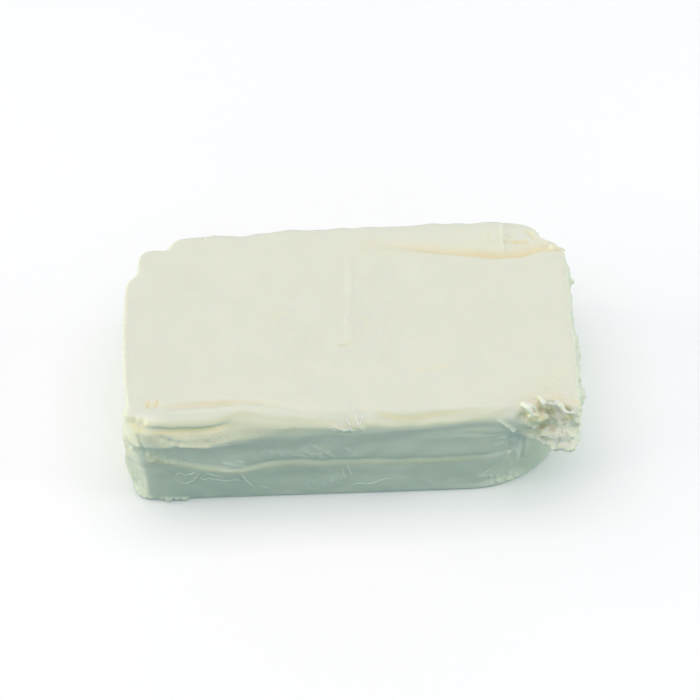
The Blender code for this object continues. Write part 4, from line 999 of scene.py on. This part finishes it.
curd = curd_group()
IVORY, IVORY_SHADE = (0.775, 0.772, 0.64, 1), (0.745, 0.745, 0.605, 1)
# Warm cream for the painted warm shade and the warm tints; chalk for dried edges and for painted light.
WARM_SHADE_AND_TINT, CHALK_AND_PAINTED_LIGHT = (0.82, 0.735, 0.45, 1), (0.85, 0.85, 0.775, 1)
# The grey-green of the painted shade on the front.
PAINTED_SHADE_TONE = (0.635, 0.665, 0.54, 1)
GRAIN_SIZE = 9.0 * MM
SMEAR_SQUEEZE, SMEARS_PER_METRE = (0.18, 1.0, 1.0), 900.0
PRINT_PITCH, PRINT_SHADES = 0.6 * MM, (0.9, 1.1)
CHALK_STRENGTH, UNEVEN_SHADE = 0.6, 0.45
SMEAR_RANGE, GLOSS_TO_MATT = (0.3, 0.7), (0.42, 0.6)
PRINT_BUMP, SMEAR_BUMP, GRAIN_BUMP, CRUMBLED_BUMP = 0.15, 0.25, 0.35, 1.6
BUMP_HEIGHT, BUMP_STRENGTH = 0.18 * MM, 0.8
SKIN_FINISH = {
    "Subsurface Weight": 0.35, "Subsurface Radius": (1.0, 0.7, 0.35), "Subsurface Scale": 1.6 * MM,
    "Specular IOR Level": 0.35,
}

cheese, tree, shader = finish("cream_cheese_skin", SKIN_FINISH)
grain = add(tree, "Group", {"Size": GRAIN_SIZE}, node_tree=curd)


def mask(name):
    """One of the block's masks, read by the material."""
    return add(tree, "Attribute", attribute_name=name).outputs["Fac"]


where = add(tree, "TexCoord").outputs["Object"]
spread = add(tree, "SeparateXYZ", {0: where})
smear_place = add(tree, "Mapping", {"Vector": where, "Scale": SMEAR_SQUEEZE}).outputs[0]
smear = add(tree, "TexNoise", {"Vector": smear_place, "Scale": SMEARS_PER_METRE, "Detail": 3.0})
smear = smear.outputs["Fac"]

pressed = reckon(tree, "ADD", spread.outputs["Y"], spread.outputs["Z"])
rows = reckon(tree, "SINE", reckon(tree, "MULTIPLY", spread.outputs["X"], 2 * np.pi / PRINT_PITCH), 0.0)
columns = reckon(tree, "SINE", reckon(tree, "MULTIPLY", pressed, 2 * np.pi / PRINT_PITCH), 0.0)
dots = reckon(tree, "MULTIPLY", reckon(tree, "MULTIPLY", rows, columns), mask("foil_print"))

colour = mixed(tree, grain.outputs["Mottle"], IVORY, IVORY_SHADE)
# Painted grey-green shade, over the front where it lies in shade.
colour = mixed(tree, mask("painted_shade"), colour, PAINTED_SHADE_TONE)
# Chalky edges lighter, and painted light on the pared corner's upper half.
colour = mixed(tree, reckon(tree, "MULTIPLY", mask("chalk_and_painted_light"), CHALK_STRENGTH), colour, CHALK_AND_PAINTED_LIGHT)
# Painted warm shade in the folds and hollows, with the cheese's own warm smears and tints.
colour = mixed(tree, mask("warm_shade_and_tint"), colour, WARM_SHADE_AND_TINT)
dark, light = PRINT_SHADES
dotted = add(tree, "MapRange", {"Value": dots, "From Min": -1.0, "To Min": dark, "To Max": light})
colour = add(tree, "VectorMath", {0: colour, "Scale": dotted.outputs["Result"]}, operation="SCALE").outputs[0]

# The crumbled parts are uneven in shade, by the same fine grain that roughens them.
uneven = reckon(tree, "MULTIPLY", reckon(tree, "SUBTRACT", grain.outputs["Height"], 0.5), mask("crumbled"))
uneven = reckon(tree, "ADD", reckon(tree, "MULTIPLY", uneven, UNEVEN_SHADE), 1.0)
colour = add(tree, "VectorMath", {0: colour, "Scale": uneven}, operation="SCALE").outputs[0]
tree.links.new(colour, shader.inputs["Base Color"])

low, high = SMEAR_RANGE
glossy, matt = GLOSS_TO_MATT
smear_range = {"From Min": low, "From Max": high, "To Min": glossy, "To Max": matt}
gloss = add(tree, "MapRange", {"Value": smear, **smear_range})
tree.links.new(gloss.outputs["Result"], shader.inputs["Roughness"])

height = reckon(tree, "MULTIPLY", dots, PRINT_BUMP)
height = reckon(tree, "ADD", height, reckon(tree, "MULTIPLY", smear, SMEAR_BUMP))
rough_share = reckon(tree, "ADD", reckon(tree, "MULTIPLY", mask("crumbled"), CRUMBLED_BUMP), GRAIN_BUMP)
height = reckon(tree, "ADD", height, reckon(tree, "MULTIPLY", grain.outputs["Height"], rough_share))
bumps = add(tree, "Bump", {"Height": height, "Distance": BUMP_HEIGHT, "Strength": BUMP_STRENGTH})
tree.links.new(bumps.outputs["Normal"], shader.inputs["Normal"])
block.data.materials.clear()
block.data.materials.append(cheese)

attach(block, "root")
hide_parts("cream_cheese_block")


# THREADS. Hair-thin strings of cheese that the foil drew out as it was peeled off, lying on the
# front. Each is a curve laid on the block's skin, thicker in its middle than at its ends.
THREAD_HALF_WIDTH, THREAD_OUT = 0.11, 0.12
THREAD_TIP, THREAD_UNEVEN, UNEVEN_PER_METRE = 0.35, 0.35, 1100
THREAD_WOBBLE, WOBBLES_PER_METRE = 0.25, 800
THREADS = (
    ((-0.807, 0.315), (-0.786, 0.273), (-0.755, 0.257), (-0.722, 0.293), (-0.703, 0.351),
     (-0.688, 0.408)),
    ((-0.793, 0.353), (-0.782, 0.394), (-0.764, 0.386), (-0.755, 0.35)),
    ((-0.758, 0.376), (-0.738, 0.38), (-0.72, 0.398), (-0.701, 0.422)),
    ((-0.69, 0.343), (-0.67, 0.315), (-0.65, 0.326), (-0.628, 0.31), (-0.596, 0.294), (-0.565, 0.278),
     (-0.534, 0.288), (-0.502, 0.263), (-0.484, 0.27)),
    ((-0.666, 0.406), (-0.639, 0.39), (-0.613, 0.361), (-0.586, 0.346)),
    ((-0.509, 0.391), (-0.493, 0.31), (-0.473, 0.229), (-0.45, 0.174)),
    ((-0.427, 0.185), (-0.405, 0.15), (-0.38, 0.127)),
    ((-0.056, 0.412), (-0.045, 0.319), (-0.038, 0.24)),
    ((-0.031, 0.435), (-0.018, 0.33), (-0.004, 0.236)),
    ((-0.008, 0.131), (0.033, 0.159), (0.08, 0.154), (0.139, 0.209), (0.17, 0.219)),
    ((0.575, 0.2), (0.61, 0.235), (0.64, 0.29)),
    ((-0.092, 0.992), (-0.061, 0.952), (-0.031, 0.924), (0.009, 0.914)),
    ((-0.018, 1.0), (0.009, 0.983), (0.026, 0.956), (0.039, 0.99)),
    ((-0.105, 0.944), (-0.07, 0.909), (-0.05, 0.905)),
    ((-0.057, 0.99), (-0.022, 0.961), (-0.004, 0.897)),
)
skin_tree = BVHTree.FromObject(block, bpy.context.evaluated_depsgraph_get())
strings = bpy.data.curves.new("cheese_threads", "CURVE")
strings.dimensions = "3D"
strings.bevel_depth = THREAD_HALF_WIDTH * MM
strings.bevel_resolution = 2
strings.use_fill_caps = True
for number, knots in enumerate(THREADS):
    share = np.linspace(0, 1, 8 * len(knots))
    ends = np.linspace(0, 1, len(knots))
    route = np.stack([through(share, list(zip(ends, np.array(knots)[:, i]))) for i in (0, 1)], -1)
    line = strings.splines.new("POLY")
    line.points.add(len(route) - 1)
    for i, (a, c) in enumerate(route):
        start = Vector((a * HALF_LENGTH, -HALF_WIDTH - 10, c * HEIGHT)) * MM
        shifts = [Vector((number * 9, axis * 5.5, 0)) for axis in range(3)]
        wobble = Vector([noise.noise(start * WOBBLES_PER_METRE + shift) for shift in shifts])
        found = skin_tree.ray_cast(start + wobble * THREAD_WOBBLE * MM, Vector((0, 1, 0)))[0]
        line.points[i].co = (*(found - Vector((0, THREAD_OUT, 0)) * MM), 1)
        full = THREAD_TIP + (1 - THREAD_TIP) * np.sin(np.pi * share[i]) ** 0.5
        line.points[i].radius = full * (1 + THREAD_UNEVEN * noise.noise(start * UNEVEN_PER_METRE))
threads = bpy.data.objects.new("cheese_threads", strings)
bpy.context.scene.collection.objects.link(threads)

DRIED_CURD, THREAD_GRAIN_SIZE = (0.85, 0.84, 0.76, 1), 2.0 * MM
THREAD_FINISH = {"Roughness": 0.45, "Subsurface Weight": 0.45, "Subsurface Scale": 1.0 * MM}
pale, tree, shader = finish("cheese_thread", THREAD_FINISH)
grain = add(tree, "Group", {"Size": THREAD_GRAIN_SIZE}, node_tree=curd)
tree.links.new(mixed(tree, grain.outputs["Mottle"], DRIED_CURD, CHALK_AND_PAINTED_LIGHT), shader.inputs["Base Color"])
strings.materials.append(pale)
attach(threads, "root")


# THE FLOOR. A plain pale sheet under the block, dull as paper. It takes the block's soft shade, and
# throws no light back up on it.
FLOOR_FINISH = {"Base Color": (0.99, 0.985, 0.975, 1), "Roughness": 0.9, "Specular IOR Level": 0.1}
bpy.ops.mesh.primitive_plane_add(size=6.0)
floor = bpy.context.object
floor.name = "floor"
floor.data.materials.append(finish("floor", FLOOR_FINISH)[0])
floor.visible_diffuse = False
floor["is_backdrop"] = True


# THE LIGHT. A broad soft box hangs overhead, so the front is in its own shade, and a low one stands
# at each end. The rest is a pale cool room, brightest along its horizon and dark below it.
LIT_PLACE = Vector((0, 0, 0.017))


def soft_box(name, place, size, power, colour):
    """A rectangular lamp that faces the block."""
    lamp = bpy.data.lights.new(name, "AREA")
    lamp.shape = "RECTANGLE"
    lamp.size, lamp.size_y = size
    lamp.energy = power
    lamp.color = colour
    box = bpy.data.objects.new(name, lamp)
    box.location = place
    box.rotation_mode = "QUATERNION"
    box.rotation_quaternion = (LIT_PLACE - Vector(place)).to_track_quat("-Z", "Y")
    bpy.context.scene.collection.objects.link(box)


soft_box("overhead", (0.0, -0.02, 0.85), (1.2, 0.8), 4.9, (1.0, 0.81, 0.92))
soft_box("left", (-0.85, 0.0, 0.16), (0.5, 0.3), 4.2, (1.0, 0.96, 0.79))
soft_box("right", (0.85, -0.1, 0.24), (0.5, 0.4), 2.5, (0.97, 1.0, 0.78))
SKY, HORIZON, GROUND = (0.2, 0.245, 0.24, 1), (0.64, 0.92, 1.0, 1), (0.02, 0.055, 0.07, 1)
ROOM_STRENGTH, SKY_FROM, GROUND_FROM = 1.47, (0.0, 0.6), (0.03, -0.12)
room = bpy.data.worlds.new("room")
room.use_nodes = True
tree = room.node_tree
way = add(tree, "SeparateXYZ", {0: add(tree, "TexCoord").outputs["Generated"]}).outputs["Z"]
upward, downward = (
    add(tree, "MapRange", {"Value": way, "From Min": start, "From Max": end}).outputs["Result"]
    for start, end in (SKY_FROM, GROUND_FROM)
)
tint = mixed(tree, downward, mixed(tree, upward, HORIZON, SKY), GROUND)
tree.links.new(tint, tree.nodes["Background"].inputs["Color"])
tree.nodes["Background"].inputs["Strength"].default_value = ROOM_STRENGTH
bpy.context.scene.world = room
bpy.context.scene.view_settings.view_transform = "Standard"


# THE VIEW. The camera stands in front of the block and well above it, 0.72 m away, with a long lens.
# Its turn, height and roll are in degrees, and the lens is in millimetres.
VIEW_TURN, VIEW_HEIGHT, VIEW_ROLL = np.radians((-2.54, 53.33, 0.19))
VIEW_DISTANCE, LENS, SENSOR_WIDTH = 0.7207, 142.8, 36.0
LOOKS_AT = Vector((0.51, 2.93, 17.25)) * MM

to_camera = Vector((
    np.sin(VIEW_TURN) * np.cos(VIEW_HEIGHT), -np.cos(VIEW_TURN) * np.cos(VIEW_HEIGHT), np.sin(VIEW_HEIGHT)
))
camera = bpy.data.objects.new("camera", bpy.data.cameras.new("camera"))
camera.data.lens = LENS
camera.data.sensor_width = SENSOR_WIDTH
camera.data.clip_start = 0.01
camera.rotation_mode = "QUATERNION"
camera.rotation_quaternion = (
    (-to_camera).to_track_quat("-Z", "Y") @ Matrix.Rotation(VIEW_ROLL, 3, "Z").to_quaternion()
)
camera.location = LOOKS_AT + to_camera * VIEW_DISTANCE
bpy.context.scene.collection.objects.link(camera)
bpy.context.scene.camera = camera

low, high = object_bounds()
